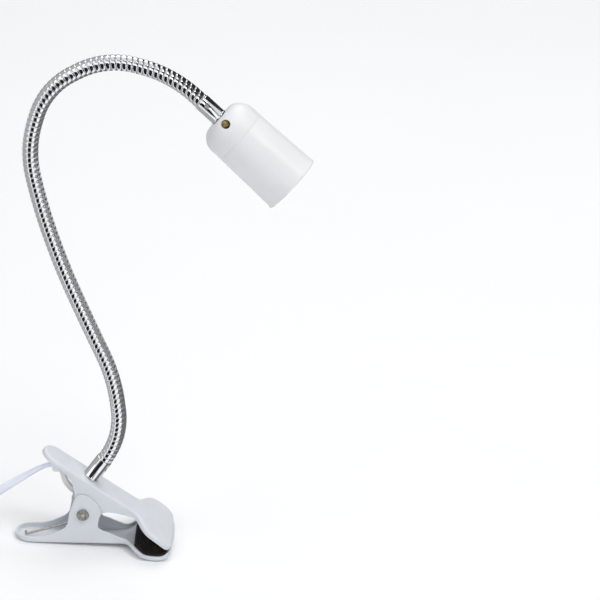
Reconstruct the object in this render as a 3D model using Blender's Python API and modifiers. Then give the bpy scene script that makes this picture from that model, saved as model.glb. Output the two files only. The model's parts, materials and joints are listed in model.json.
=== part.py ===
"""Clip-on reading lamp: a sprung metal clip, a long bendable gooseneck and a screw lampholder.

Metres, +Z up, +X from the clip's handles to its jaws, +Y across the clip.
The origin is the middle of the flat under the lower jaw, which the lamp stands on.
"""

import math

import bmesh
import bpy
from mathutils import Matrix, Vector

MM = 0.001
GAP = 0.3 * MM  # clearance between neighbouring pieces

# ------------------------------------------------------------------ driving dimensions
PIVOT_X = -51.0 * MM  # clip hinge, behind the middle of the lower jaw's foot
PIVOT_Z = 23.5 * MM  # clip hinge above the surface that the lamp stands on
LEVER_SLOPE = math.radians(32)  # fall of the upper lever from its handle to its jaw
SHEET = 1.2 * MM  # sheet metal of both levers
LEVER_HALF = 11.25 * MM  # half the outer width of each lever's channel
LEVER_SHIFT = 0.75 * MM  # each lever sits this far to one side, so that their walls interleave
JAW_HALF = 27.5 * MM  # half the width of both jaws
BEND_RADIUS = 1.8 * MM  # outside radius of the folds
UPPER_HEIGHT = 21.6 * MM  # upper lever's face above the hinge, square to the lever
UPPER_TIP = 61.0 * MM  # jaw tip along the upper lever from the hinge
UPPER_TAIL = -46.5 * MM  # handle end along the upper lever from the hinge
EAR_RADIUS = 9.5 * MM  # upper lever's ears round the hinge
LIP = 3.4 * MM  # turned edge of the jaws
JAW_CURL = 2.2 * MM  # fall of the upper jaw's tip
HANDLE_LIP = 4.2 * MM  # top of the lower handle's wall, in the lower lever's frame

RIVET_RADIUS = 2.5 * MM
RIVET_HEAD = 4.15 * MM
SPRING_WIRE = 0.75 * MM  # radius
SPRING_RADIUS = 4.9 * MM
SPRING_TURNS = 6.375
PAD_THICKNESS = 2.2 * MM
PAD_HALF = 25.6 * MM

FERRULE_AT = -9.2 * MM  # gooseneck's foot along the upper lever from the hinge
FERRULE_RADIUS = 5.6 * MM
BASE_FERRULE = 16.6 * MM
HEAD_FERRULE = 15.9 * MM
STUD_RADIUS = 4.9 * MM
STUD_LENGTH = 9.5 * MM
CABLE_BORE = 2.9 * MM
CABLE_RADIUS = 2.2 * MM

NECK_RADIUS = 5.2 * MM
NECK_BORE = 3.4 * MM
NECK_SEGMENT = 42.3 * MM  # from joint to joint along the neck
NECK_TAIL = 4.4 * MM  # straight end of each segment, which holds the next one's ball
NECK_TURNS = (-41.2, -17.4, 1.2, 4.5, 5.9, 29, 45.2, 41.6, 27)  # degrees, positive leans towards the jaws
NECK_LEANS = (0, 0, 0, 0, 0, 0, 0, 4, 5)  # degrees, positive leans towards -Y
SOCKET_GAP = 0.3 * MM  # between a segment's ball and the cup of the one before it

CAP_TOP = 11.4 * MM  # radius of the lampholder cap's flat end
CAP_RADIUS = 19.0 * MM
CAP_ROUND = 12.0 * MM
CAP_LENGTH = 17.8 * MM
HOLDER_LENGTH = 63.2 * MM
RIM_RADIUS = 20.8 * MM
SHELL_RADIUS = 13.4 * MM  # bore of the screw shell for a 27 mm lamp cap
LOCK_HOLE = 2.85 * MM
LOCK_AT = 4.6 * MM  # lock screw below the cap's flat end
LOCK_FACE = 13.8 * MM  # lock screw's outer face from the lampholder's axis
LOCK_ANGLE = math.radians(-108)  # round the lampholder's axis
SCREW_INSET = 5.0 * MM  # grub screws from the neck's end of each ferrule
BASE_SCREW_ANGLE = math.radians(-30)  # round the lower ferrule's axis

CORD_RADIUS = 2.4 * MM  # plain round stand-in of a flat twin cord
COIL_X = -277.0 * MM
COIL_INNER = 23.6 * MM
COIL_OUTER = 36.4 * MM
COIL_LOW = 1.1 * MM
COIL_HIGH = 14.4 * MM
SWITCH_X = -201.0 * MM
SWITCH_LENGTH = 52.0 * MM
SWITCH_WIDTH = 22.0 * MM
SWITCH_SPLIT = 7.2 * MM
SWITCH_HIGH = 13.4 * MM
ROCKER_SWING = math.radians(7)  # the rocker leans this far to each side of level
PLUG_LENGTH = 33.0 * MM
PLUG_WIDTH = 32.0 * MM
PLUG_HEIGHT = 13.6 * MM
PIN_RADIUS = 2.0 * MM
PIN_LENGTH = 19.0 * MM
PIN_SPACING = 18.6 * MM
BOOT_LENGTH = 22.0 * MM  # tapered strain relief behind the plug

# ------------------------------------------------------------------ scene and helpers
for old in list(bpy.data.objects):
    bpy.data.objects.remove(old, do_unlink=True)

LAMP = bpy.data.collections.new("clip_on_reading_lamp")
CUTTERS = bpy.data.collections.new("cutters")
bpy.context.scene.collection.children.link(LAMP)
bpy.context.scene.collection.children.link(CUTTERS)


def material(name, colour, roughness, metallic=0.0):
    made = bpy.data.materials.new(name)
    made.use_nodes = True
    shader = made.node_tree.nodes["Principled BSDF"]
    shader.inputs["Base Color"].default_value = (*colour, 1.0)
    shader.inputs["Roughness"].default_value = roughness
    shader.inputs["Metallic"].default_value = metallic
    return made


POWDER_COAT = material("powder_coat", (0.66, 0.69, 0.73), 0.42)
RUBBER = material("rubber", (0.02, 0.017, 0.016), 0.7)
CHROME = material("chrome", (0.78, 0.78, 0.8), 0.12, 1.0)
STEEL = material("steel", (0.55, 0.54, 0.52), 0.3, 1.0)
BRASS = material("brass", (0.55, 0.42, 0.16), 0.3, 1.0)
HOLDER_WHITE = material("holder_white", (0.85, 0.86, 0.88), 0.35)
CORE_CREAM = material("core_cream", (0.8, 0.78, 0.7), 0.5)
CORD_WHITE = material("cord_white", (0.8, 0.8, 0.86), 0.45)
WIRE_BROWN = material("wire_brown", (0.2, 0.09, 0.04), 0.5)
WIRE_BLUE = material("wire_blue", (0.05, 0.12, 0.4), 0.5)


def place(made, finish, parent=None, at=Matrix.Identity(4)):
    """Give an object its material, its parent and its place under that parent."""
    made.data.materials.clear()
    made.data.materials.append(finish)
    made.parent = parent
    made.matrix_basis = at
    return made


def new_object(name, data, collection=LAMP):
    made = bpy.data.objects.new(name, data)
    collection.objects.link(made)
    return made


def empty(name, at, parent=None):
    made = new_object(name, None)
    made.empty_display_size = 5 * MM
    made.parent = parent
    made.matrix_basis = at
    return made


def mesh_from(name, build):
    """A mesh that build() fills in."""
    bm = bmesh.new()
    build(bm)
    mesh = bpy.data.meshes.new(name)
    bm.to_mesh(mesh)
    bm.free()
    return mesh


def smooth(made, angle=40):
    made.data.shade_smooth()
    made.data.set_sharp_from_angle(angle=math.radians(angle))


def turned(name, profile, finish, parent=None, at=Matrix.Identity(4), steps=16, collection=LAMP):
    """A turned piece: profile is (radius, height) pairs, a closed loop or a line from axis to axis."""
    on_axis = profile[0][0] == 0 and profile[-1][0] == 0
    area = sum(a[0] * b[1] - b[0] * a[1] for a, b in zip(profile, profile[1:] + profile[:1]))
    points = profile[::-1] if area > 0 else profile

    def build(bm):
        made = [bm.verts.new((r, 0, z)) for r, z in points]
        ring = zip(made, made[1:] if on_axis else made[1:] + made[:1])
        for a, b in ring:
            bm.edges.new((a, b))

    piece = new_object(name, mesh_from(name, build), collection)
    screw = piece.modifiers.new("turn", "SCREW")
    screw.steps = screw.render_steps = steps
    screw.use_merge_vertices = True
    screw.merge_threshold = 0.00001
    screw.use_smooth_shade = True
    return place(piece, finish, parent, at)


def ring(inner, outer, low, high):
    """The profile of a plain tube."""
    return [(outer, high), (outer, low), (inner, low), (inner, high)]


def rod(radius, low, high):
    """The profile of a plain solid cylinder."""
    return [(0, high), (radius, high), (radius, low), (0, low)]


def arc(centre, radius, start, end, count):
    """Points round an arc; angles in degrees, from +X towards the second axis."""
    steps = [math.radians(start + (end - start) * i / count) for i in range(count + 1)]
    return [(centre[0] + radius * math.cos(a), centre[1] + radius * math.sin(a)) for a in steps]


def tube(name, points, radius, finish, parent=None, at=Matrix.Identity(4), resolution=2):
    """A round bar along points, with filled ends."""
    curve = bpy.data.curves.new(name, "CURVE")
    curve.dimensions = "3D"
    curve.bevel_depth = radius
    curve.bevel_resolution = resolution
    curve.use_fill_caps = True
    spline = curve.splines.new("POLY")
    spline.points.add(len(points) - 1)
    for target, point in zip(spline.points, points):
        target.co = (*point, 1.0)
    return place(new_object(name, curve), finish, parent, at)


def slab(name, outline, thickness, finish, parent=None, at=Matrix.Identity(4), round_by=0.0):
    """A flat outline in X and Y, extruded to both sides of Z = 0, with its edges rounded."""

    def build(bm):
        face = bm.faces.new([bm.verts.new((x, y, -thickness / 2)) for x, y in outline])
        raised = bmesh.ops.extrude_face_region(bm, geom=[face])
        top = [item for item in raised["geom"] if isinstance(item, bmesh.types.BMVert)]
        bmesh.ops.translate(bm, vec=(0, 0, thickness), verts=top)
        bmesh.ops.recalc_face_normals(bm, faces=bm.faces)

    piece = new_object(name, mesh_from(name, build))
    if round_by:
        bevel = piece.modifiers.new("edges", "BEVEL")
        bevel.width = round_by
        bevel.segments = 1
        bevel.limit_method = "ANGLE"
        bevel.angle_limit = math.radians(50)
    return place(piece, finish, parent, at)


def cut(piece, cutter):
    """Take the cutter's shape out of the piece; the cutter is only a guide."""
    cutter.hide_render = True
    cutter.display_type = "WIRE"
    boolean = piece.modifiers.new("cut_" + cutter.name, "BOOLEAN")
    boolean.operation = "DIFFERENCE"
    boolean.solver = "EXACT"
    boolean.object = cutter


def drill(name, radius, low, high, parent, at, steps=16):
    """A round cutter along the local Z of at."""
    return turned(name, rod(radius, low, high), STEEL, parent, at, steps, CUTTERS)


def resample(points, count):
    """count + 1 points spread evenly along a line."""
    ends = [0.0]
    for a, b in zip(points, points[1:]):
        ends.append(ends[-1] + (Vector(b) - Vector(a)).length)
    out = []
    for i in range(count + 1):
        want = ends[-1] * i / count
        k = max(j for j in range(len(points) - 1) if ends[j] <= want + 1e-12)
        share = (want - ends[k]) / (ends[k + 1] - ends[k])
        out.append(tuple(Vector(points[k]).lerp(Vector(points[k + 1]), share)))
    return out


def smooth_route(knots, spacing):
    """Points every spacing along a smooth curve through the knots."""
    fine = []
    padded = [knots[0], *knots, knots[-1]]
    for p0, p1, p2, p3 in zip(padded, padded[1:], padded[2:], padded[3:]):
        p0, p1, p2, p3 = (Vector(p) for p in (p0, p1, p2, p3))
        for i in range(12):
            t = i / 12
            fine.append(
                0.5
                * (
                    2 * p1
                    + (p2 - p0) * t
                    + (2 * p0 - 5 * p1 + 4 * p2 - p3) * t * t
                    + (3 * p1 - p0 - 3 * p2 + p3) * t * t * t
                )
            )
    fine.append(Vector(knots[-1]))
    length = sum((b - a).length for a, b in zip(fine, fine[1:]))
    return resample([tuple(p) for p in fine], max(2, round(length / spacing)))


def between(table, x):
    """The value at x of a smooth step curve through (x, value) pairs."""
    if x <= table[0][0]:
        return table[0][1]
    for (x0, y0), (x1, y1) in zip(table, table[1:]):
        if x <= x1:
            t = (x - x0) / (x1 - x0)
            return y0 + (y1 - y0) * t * t * (3 - 2 * t)
    return table[-1][1]


def turn(axis, angle):
    return Matrix.Rotation(angle, 4, axis)


# Frames of the bodies: the hinge line is across the clip, and the upper lever lies along its own X.
STAND = empty("clip_stand", Matrix.Translation((PIVOT_X, 0, 0)))
HINGE = empty("clip_hinge", Matrix.Translation((PIVOT_X, 0, PIVOT_Z)) @ turn("Y", LEVER_SLOPE))
ACROSS = turn("X", math.pi / 2)  # local Z along -Y


# ------------------------------------------------------------------ sheet metal levers
def channel(name, stations, shift, parent):
    """A folded channel. Each station is (web point, half width, wall edge point), points in X and Z."""
    columns = 10

    def build(bm):
        bmesh.ops.create_grid(bm, x_segments=len(stations) - 1, y_segments=columns - 1, size=1)
        bm.verts.ensure_lookup_table()
        order = sorted(bm.verts, key=lambda v: (round(v.co.x, 6), round(v.co.y, 6)))
        for s, (web, half, edge) in enumerate(stations):
            web, edge = Vector(web), Vector(edge)
            down = edge - web
            fold = min(BEND_RADIUS, 0.45 * half, 0.7 * down.length)
            down.normalize()
            side = [
                (half, edge),
                (half, web + down * fold),
                (half - 0.29 * fold, web + down * 0.29 * fold),
                (half - fold, web),
                (0.4 * (half - fold), web),
            ]
            row = [(-y, p) for y, p in side] + [(y, p) for y, p in reversed(side)]
            for vert, (y, p) in zip(order[s * columns : (s + 1) * columns], row):
                vert.co = (p.x, y + shift, p.y)

    piece = new_object(name, mesh_from(name, build))
    shell = piece.modifiers.new("sheet", "SOLIDIFY")
    shell.thickness = SHEET
    walls_rise = stations[0][2][1] > stations[0][0][1]
    shell.offset = 1 if walls_rise else -1
    place(piece, POWDER_COAT, parent)
    smooth(piece)
    return piece


def handle_half(x, tail):
    """Half width of a handle with a round end at tail."""
    from_centre = min(0.0, x - (tail + LEVER_HALF))
    return max(5.0 * MM, math.sqrt(max(0.0, LEVER_HALF**2 - from_centre**2)))


JAW_PLAN = [  # half width along a lever, from the throat to the tip
    (28.0 * MM, LEVER_HALF),
    (34.5 * MM, 20.0 * MM),
    (40.0 * MM, 26.4 * MM),
    (45.0 * MM, JAW_HALF),
    (54.0 * MM, JAW_HALF),
    (59.0 * MM, 25.4 * MM),
    (61.9 * MM, 19.5 * MM),
]


def half_width(x, tail):
    return between(JAW_PLAN, x) if x > JAW_PLAN[0][0] else handle_half(x, tail)


def upper_web(x):
    """The upper lever's outer face: flat, then curling down to the jaw's tip."""
    curl_from = 44 * MM
    share = max(0.0, (x - curl_from) / (UPPER_TIP - curl_from))
    return (x, UPPER_HEIGHT - JAW_CURL * share * share)


def stations_between(web, edge, count, tail):
    """Stations whose web points and wall edge points are both evenly spread."""
    rows = zip(resample(web, count), resample(edge, count))
    return [(w, half_width(w[0], tail), e) for w, e in rows]


def upper_lever():
    x = [v * MM for v in (-46.5, -22, 16, 29.5)]
    handle_edge = [
        (-46.4 * MM, 18.2 * MM),
        (-38.0 * MM, 18.2 * MM),
        (-28.6 * MM, 18.2 * MM),
        (-21.0 * MM, 15.6 * MM),
    ]
    ear_edge = [
        handle_edge[-1],
        (-15.5 * MM, 11.4 * MM),
        (-10.6 * MM, 7.6 * MM),
        *arc((0, 0), EAR_RADIUS, 172, 360, 9),
        (10.2 * MM, 7.0 * MM),
        (13.0 * MM, 10.6 * MM),
        (18.0 * MM, 13.4 * MM),
    ]
    front_edge = [ear_edge[-1], (29.0 * MM, 17.6 * MM)]
    tail = UPPER_TAIL
    stations = stations_between([upper_web(x[0]), upper_web(x[1])], handle_edge, 8, tail)
    stations += stations_between([upper_web(x[1]), upper_web(x[2])], ear_edge, 20, tail)[1:]
    stations += stations_between([upper_web(x[2]), upper_web(x[3])], front_edge, 3, tail)[1:]
    for at in (31.2, 33.0, 35.0, 37.5, 41.0, 46.0, 52.0, 56.5, 59.0, 61.0):
        web = upper_web(at * MM)
        lip = between([(56.5 * MM, LIP), (UPPER_TIP, 0.4 * LIP)], at * MM)
        stations.append((web, half_width(at * MM, tail), (web[0], web[1] - lip)))
    return channel("upper_lever", stations, LEVER_SHIFT, HINGE)


LOWER_WEB = [  # underside of the lower lever, (along, above the surface), with two flats at height 0
    (-45.6 * MM, 1.6 * MM),
    (-43.0 * MM, 0.3 * MM),
    (-40.0 * MM, 0.0),
    (-32.0 * MM, 0.0),
    (31.6 * MM, 3.1 * MM),
    (36.0 * MM, 2.7 * MM),
    (43.0 * MM, 0.5 * MM),
    (47.5 * MM, 0.0),
    (54.5 * MM, 0.0),
    (58.4 * MM, 1.3 * MM),
    (61.6 * MM, 3.9 * MM),
]


def lower_web(x):
    """The underside of the lower lever at x."""
    for (x0, z0), (x1, z1) in zip(LOWER_WEB, LOWER_WEB[1:]):
        if x <= x1:
            return (x, z0 + (z1 - z0) * (x - x0) / (x1 - x0))
    return (x, LOWER_WEB[-1][1])


def lower_lever():
    tail = LOWER_WEB[0][0]
    handle_edge = [(-32.0 * MM, 4.5 * MM), (-27.0 * MM, 5.0 * MM), (-16.4 * MM, 9.6 * MM)]
    ear_edge = [
        handle_edge[-1],
        (-10.4 * MM, 14.2 * MM),
        (-9.4 * MM, 22.0 * MM),
        (-7.6 * MM, 30.0 * MM),
        (-5.2 * MM, 36.4 * MM),
        (-1.4 * MM, 38.4 * MM),
        (3.0 * MM, 37.4 * MM),
        (8.2 * MM, 33.4 * MM),
        (11.2 * MM, 28.6 * MM),
        (12.2 * MM, 23.0 * MM),
        (12.9 * MM, 17.6 * MM),
        (14.4 * MM, 13.6 * MM),
        (17.0 * MM, 11.4 * MM),
    ]
    front_edge = [ear_edge[-1], (20.3 * MM, 10.2 * MM), (27.0 * MM, 7.6 * MM), (30.0 * MM, 7.3 * MM)]
    stations = [
        (lower_web(at * MM), half_width(at * MM, tail), (at * MM, HANDLE_LIP))
        for at in (-45.6, -44.6, -43.0, -40.0, -36.0, -32.0)
    ]
    stations += stations_between([lower_web(-32 * MM), lower_web(-14 * MM)], handle_edge, 3, tail)[1:]
    stations += stations_between([lower_web(-14 * MM), lower_web(17 * MM)], ear_edge, 22, tail)[1:]
    stations += stations_between([lower_web(17 * MM), lower_web(29 * MM)], front_edge, 3, tail)[1:]
    for at in (31.6, 34.0, 36.5, 39.5, 43.0, 47.5, 54.5, 58.4):
        web = lower_web(at * MM)
        lip = between([(31.6 * MM, 4.4 * MM), (39.0 * MM, LIP), (58.4 * MM, LIP)], at * MM)
        stations.append((web, half_width(at * MM, tail), (web[0], web[1] + lip)))
    end = LOWER_WEB[-1]
    stations.append((end, half_width(60.9 * MM, tail), (end[0], end[1] + 0.55 * LIP)))
    return channel("lower_lever", stations, -LEVER_SHIFT, STAND)


def pad(name, line, halves, shift, parent):
    """A rubber pad: a strip along line, points in X and Z, with its thickness below it."""
    columns = 4

    def build(bm):
        bmesh.ops.create_grid(bm, x_segments=len(line) - 1, y_segments=columns - 1, size=1)
        order = sorted(bm.verts, key=lambda v: (round(v.co.x, 6), round(v.co.y, 6)))
        for s, (point, half) in enumerate(zip(line, halves)):
            for c, vert in enumerate(order[s * columns : (s + 1) * columns]):
                vert.co = (point[0], shift + half * (2 * c / (columns - 1) - 1), point[1])

    piece = new_object(name, mesh_from(name, build))
    shell = piece.modifiers.new("rubber", "SOLIDIFY")
    shell.thickness = PAD_THICKNESS
    shell.offset = -1
    shell.use_even_offset = True
    place(piece, RUBBER, parent)
    smooth(piece)
    return piece


def pads():
    def halves(line):
        widths = [min(half_width(x - 4 * MM, 0), half_width(x + 2 * MM, 0)) for x, z in line]
        return [min(PAD_HALF, width - SHEET - 2 * GAP) for width in widths]

    under = SHEET + GAP
    upper = [upper_web(v * MM) for v in (36.0, 39.0, 43.0, 48.0, 53.0, 57.0, 60.0)]
    upper = [(x, z - under) for x, z in upper]
    pad("upper_jaw_pad", upper, halves(upper), LEVER_SHIFT, HINGE)
    lower = [lower_web(v * MM) for v in (35.6, 39.0, 43.0, 47.5, 54.0, 57.0)]
    lower = [(x, z + under + PAD_THICKNESS + GAP) for x, z in lower]
    pad("lower_jaw_pad", lower, halves(lower), -LEVER_SHIFT, STAND)


def clip():
    upper, lower = upper_lever(), lower_lever()
    hinge_hole = RIVET_RADIUS + GAP
    cut(upper, drill("upper_hinge_hole", hinge_hole, -20 * MM, 20 * MM, HINGE, ACROSS))
    cut(lower, drill("lower_hinge_hole", hinge_hole, -20 * MM, 20 * MM, HINGE, ACROSS))
    foot = Matrix.Translation((FERRULE_AT, 0, UPPER_HEIGHT))
    cut(upper, drill("neck_hole", STUD_RADIUS + GAP, -5 * MM, 5 * MM, HINGE, foot))
    pads()

    wall = LEVER_HALF + LEVER_SHIFT + GAP
    head = 1.7 * MM
    dome = [(0, wall + head * 0.55), (1.2 * MM, wall + head * 0.55), (1.9 * MM, wall + head)]
    dome += [(RIVET_HEAD - 1.0 * MM, wall + head), (RIVET_HEAD, wall + 0.4 * head), (RIVET_HEAD, wall)]
    half = dome + [(RIVET_RADIUS, wall)]
    other = [(r, -z) for r, z in reversed(half)]
    turned("clip_rivet", half + other, STEEL, HINGE, ACROSS, steps=20)
    inner = LEVER_HALF - LEVER_SHIFT - SHEET - GAP
    bush = ring(RIVET_RADIUS + GAP, RIVET_RADIUS + 1.1 * MM, -inner, inner)
    turned("clip_bush", bush, STEEL, HINGE, ACROSS, steps=14)


def clip_spring():
    """A wire spring: one leg in each handle, its turns round the hinge."""
    pitch = 2.1 * MM
    per_turn = 8
    first = math.radians(-100)
    steps = round(SPRING_TURNS * per_turn)
    start_y = -pitch * SPRING_TURNS / 2
    coil = []
    for i in range(steps + 1):
        angle = first - 2 * math.pi * i / per_turn
        y = start_y + pitch * i / per_turn
        coil.append((SPRING_RADIUS * math.cos(angle), y, SPRING_RADIUS * math.sin(angle)))
    to_hinge = HINGE.matrix_basis.inverted() @ STAND.matrix_basis
    down = ((-38.6, -4.5, 5.0), (-37.6, -4.6, 3.2), (-12.0, -6.4, 13.6))
    lower_end = [tuple(to_hinge @ (Vector(p) * MM)) for p in down]
    up = [(-4 * MM, -start_y, 7.6 * MM), (-15 * MM, -start_y, 16.2 * MM), (-24 * MM, -start_y, 18.6 * MM)]
    points = lower_end + coil + up
    tube("clip_spring", points, SPRING_WIRE, STEEL, HINGE, resolution=1)


# ------------------------------------------------------------------ gooseneck
def grub_screw(name, ferrule, parent, height, angle):
    """A hole in the side of a ferrule and the grub screw in it, which holds the neck."""
    radial = Matrix.Translation((0, 0, height)) @ turn("Z", angle) @ turn("Y", math.pi / 2)
    hole = drill(name + "_screw_hole", 1.5 * MM, CABLE_BORE - 1 * MM, 7 * MM, parent, radial, steps=10)
    cut(ferrule, hole)
    screw = rod(1.2 * MM, CABLE_BORE + 0.1 * MM, 5.3 * MM)
    turned(name + "_screw", screw, STEEL, parent, radial, steps=10)


def base_fitting():
    """The chromed foot of the neck, with its stud through the upper lever, washer and nut."""
    foot = empty("neck_foot", Matrix.Translation((FERRULE_AT, 0, UPPER_HEIGHT)), HINGE)
    body = [
        (FERRULE_RADIUS - 0.5 * MM, BASE_FERRULE),
        (FERRULE_RADIUS, BASE_FERRULE - 0.5 * MM),
        (FERRULE_RADIUS, GAP),
        (STUD_RADIUS, GAP),
        (STUD_RADIUS, -STUD_LENGTH),
        (CABLE_BORE, -STUD_LENGTH),
        (CABLE_BORE, BASE_FERRULE),
    ]
    ferrule = turned("base_ferrule", body, CHROME, foot)
    grub_screw("base_ferrule", ferrule, foot, BASE_FERRULE - SCREW_INSET, BASE_SCREW_ANGLE)
    under = -SHEET - GAP
    washer = ring(STUD_RADIUS + GAP, 8.6 * MM, under - 0.9 * MM, under)
    turned("base_washer", washer, STEEL, foot)
    nut_height, nut_corner = 3.0 * MM, 8.0 * MM
    nut_at = Matrix.Translation((0, 0, under - 0.9 * MM - GAP - nut_height / 2))
    nut = slab("base_nut", arc((0, 0), nut_corner, 0, 300, 5), nut_height, STEEL, foot, nut_at)
    cut(nut, drill("nut_thread", STUD_RADIUS + GAP, -5 * MM, 5 * MM, foot, nut_at))
    return foot


def neck_step(turn_deg, lean_deg):
    """From a segment's start to its end: the roll of its bending plane, its total turn and the frame."""
    total = math.radians(math.hypot(turn_deg, lean_deg))
    roll = math.atan2(-lean_deg, turn_deg)
    length = NECK_SEGMENT - NECK_TAIL
    across = (1 - math.cos(total)) / total * length
    along = math.sin(total) / total * length
    tail = Vector((math.sin(total), 0, math.cos(total))) * NECK_TAIL
    bent = Matrix.Translation(Vector((across, 0, along)) + tail) @ turn("Y", total)
    return roll, total, turn("Z", roll) @ bent @ turn("Z", -roll)


def bend(piece, low, high, total):
    """Bend a straight piece, which runs from low to high, between 0 and the start of its tail."""
    deform = piece.modifiers.new("bend", "SIMPLE_DEFORM")
    deform.deform_method = "BEND"
    deform.deform_axis = "Y"
    bent = NECK_SEGMENT - NECK_TAIL
    stop = min(high, bent)
    deform.limits = (max(0.0, -low) / (high - low), (stop - low) / (high - low))
    deform.angle = total * (stop - max(0.0, low)) / bent
    return piece


def neck_link(index, joint, roll, total, last):
    """One segment: a ball at its start, a bore for the cable, and a cup for the next ball."""
    cup = NECK_RADIUS + SOCKET_GAP
    bent = NECK_SEGMENT - NECK_TAIL
    rows = max(1, math.ceil(math.degrees(total) / 9))
    side = [bent * i / rows for i in range(rows + 1)]
    if index == 1:
        start = [(NECK_RADIUS, side[0]), (NECK_BORE, side[0])]
    else:
        open_at = math.degrees(math.acos(NECK_BORE / NECK_RADIUS))
        start = arc((0, 0), NECK_RADIUS, 0, -open_at, 4)
    low = start[-1][1]
    if last:
        end = [(NECK_BORE, NECK_SEGMENT), (NECK_RADIUS, NECK_SEGMENT)]
    else:
        inner = math.degrees(math.acos(NECK_BORE / cup))
        outer = math.degrees(math.acos(NECK_RADIUS / cup))
        end = arc((0, NECK_SEGMENT), cup, -inner, -outer, 3)
    high = end[-1][1]
    profile = [(NECK_RADIUS, z) for z in reversed(side[1:])] + start
    profile += [(NECK_BORE, z) for z in side[1:]] + end
    at = turn("Z", roll)
    piece = turned(f"neck_link_{index}", profile, CHROME, joint, at, steps=14)
    bend(piece, low, high, total)

    cable_low, cable_high = (0.8 * MM if index == 1 else -3.4 * MM), NECK_SEGMENT - 6 * MM
    if last:
        cable_high = NECK_SEGMENT - 0.8 * MM
    heights = [cable_high + (cable_low - cable_high) * i / (rows + 1) for i in range(rows + 2)]
    line = [(0, cable_high), *[(CABLE_RADIUS, z) for z in heights], (0, cable_low)]
    cable = turned(f"neck_cable_{index}", line, CORD_WHITE, joint, at, steps=8)
    bend(cable, cable_low, cable_high, total)


def gooseneck(foot):
    """The neck's joints, each parented to the one before, and the segments between them."""
    joint = empty("neck_joint_0", Matrix.Translation((0, 0, BASE_FERRULE + GAP)), foot)
    count = len(NECK_TURNS)
    for k, (turn_deg, lean_deg) in enumerate(zip(NECK_TURNS, NECK_LEANS), start=1):
        roll, total, step = neck_step(turn_deg, lean_deg)
        neck_link(k, joint, roll, total, last=k == count)
        joint = empty(f"neck_joint_{k}", step, joint)
    return joint


# ------------------------------------------------------------------ lampholder
def head_fitting(head):
    """The chromed fitting between the neck and the lampholder, with its grub screw."""
    low, high = GAP, HEAD_FERRULE
    body = [
        (CABLE_BORE, low),
        (FERRULE_RADIUS - 0.5 * MM, low),
        (FERRULE_RADIUS, low + 0.5 * MM),
        (FERRULE_RADIUS, high),
        (STUD_RADIUS, high),
        (STUD_RADIUS, high + STUD_LENGTH),
        (CABLE_BORE, high + STUD_LENGTH),
    ]
    ferrule = turned("head_ferrule", body, CHROME, head)
    grub_screw("head_ferrule", ferrule, head, SCREW_INSET, LOCK_ANGLE)


def holder_cap(holder):
    """The domed cap, its inner collar on the stud, and the lock screw in its side."""
    wall = 2.0 * MM
    first = math.degrees(math.asin(1 - (CAP_RADIUS - CAP_TOP) / CAP_ROUND))
    rise = CAP_ROUND * math.cos(math.radians(first))
    dome = arc((CAP_RADIUS - CAP_ROUND, -rise), CAP_ROUND, 90 - first, 0, 5)
    inner = arc((CAP_RADIUS - CAP_ROUND, -rise), CAP_ROUND - wall, 0, 78 - first, 4)
    collar = 9.0 * MM
    profile = [(r, -z) for r, z in dome]
    profile += [(CAP_RADIUS, CAP_LENGTH), (16.9 * MM, CAP_LENGTH), (16.9 * MM, CAP_LENGTH + 2.6 * MM)]
    profile += [(15.6 * MM, CAP_LENGTH + 2.6 * MM), (15.6 * MM, CAP_LENGTH - 1.5 * MM)]
    profile += [(CAP_RADIUS - wall, CAP_LENGTH - 3 * MM)]
    profile += [(r, -z) for r, z in inner]
    profile += [(collar, wall), (collar, 10 * MM), (STUD_RADIUS + GAP, 10 * MM), (STUD_RADIUS + GAP, 0)]
    cap = turned("holder_cap", profile, HOLDER_WHITE, holder, steps=28)
    radial = Matrix.Translation((0, 0, LOCK_AT)) @ turn("Z", LOCK_ANGLE) @ turn("Y", math.pi / 2)
    cut(cap, drill("lock_hole", LOCK_HOLE, STUD_RADIUS - 1 * MM, 25 * MM, holder, radial))
    screw = [
        (0, LOCK_FACE),
        (LOCK_HOLE - GAP, LOCK_FACE),
        (LOCK_HOLE - GAP, STUD_RADIUS + 1.5 * MM),
        (1.6 * MM, STUD_RADIUS + GAP),
        (0, STUD_RADIUS + GAP),
    ]
    turned("cap_lock_screw", screw, BRASS, holder, radial, steps=14)


def holder_skirt(holder):
    """The open skirt: a slightly flared tube with a ledge that holds the core."""
    top = CAP_LENGTH + GAP
    profile = [
        (CAP_RADIUS + 0.1 * MM, top),
        (RIM_RADIUS - 0.6 * MM, HOLDER_LENGTH - 2 * MM),
        (RIM_RADIUS - 0.2 * MM, HOLDER_LENGTH - 0.4 * MM),
        (RIM_RADIUS - 0.8 * MM, HOLDER_LENGTH),
        (RIM_RADIUS - 1.9 * MM, HOLDER_LENGTH - 0.4 * MM),
        (17.7 * MM, 30.5 * MM),
        (16.0 * MM, 30.2 * MM),
        (16.0 * MM, 28.2 * MM),
        (17.2 * MM, 28.0 * MM),
        (17.2 * MM, top),
    ]
    turned("holder_skirt", profile, HOLDER_WHITE, holder, steps=28)


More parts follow.
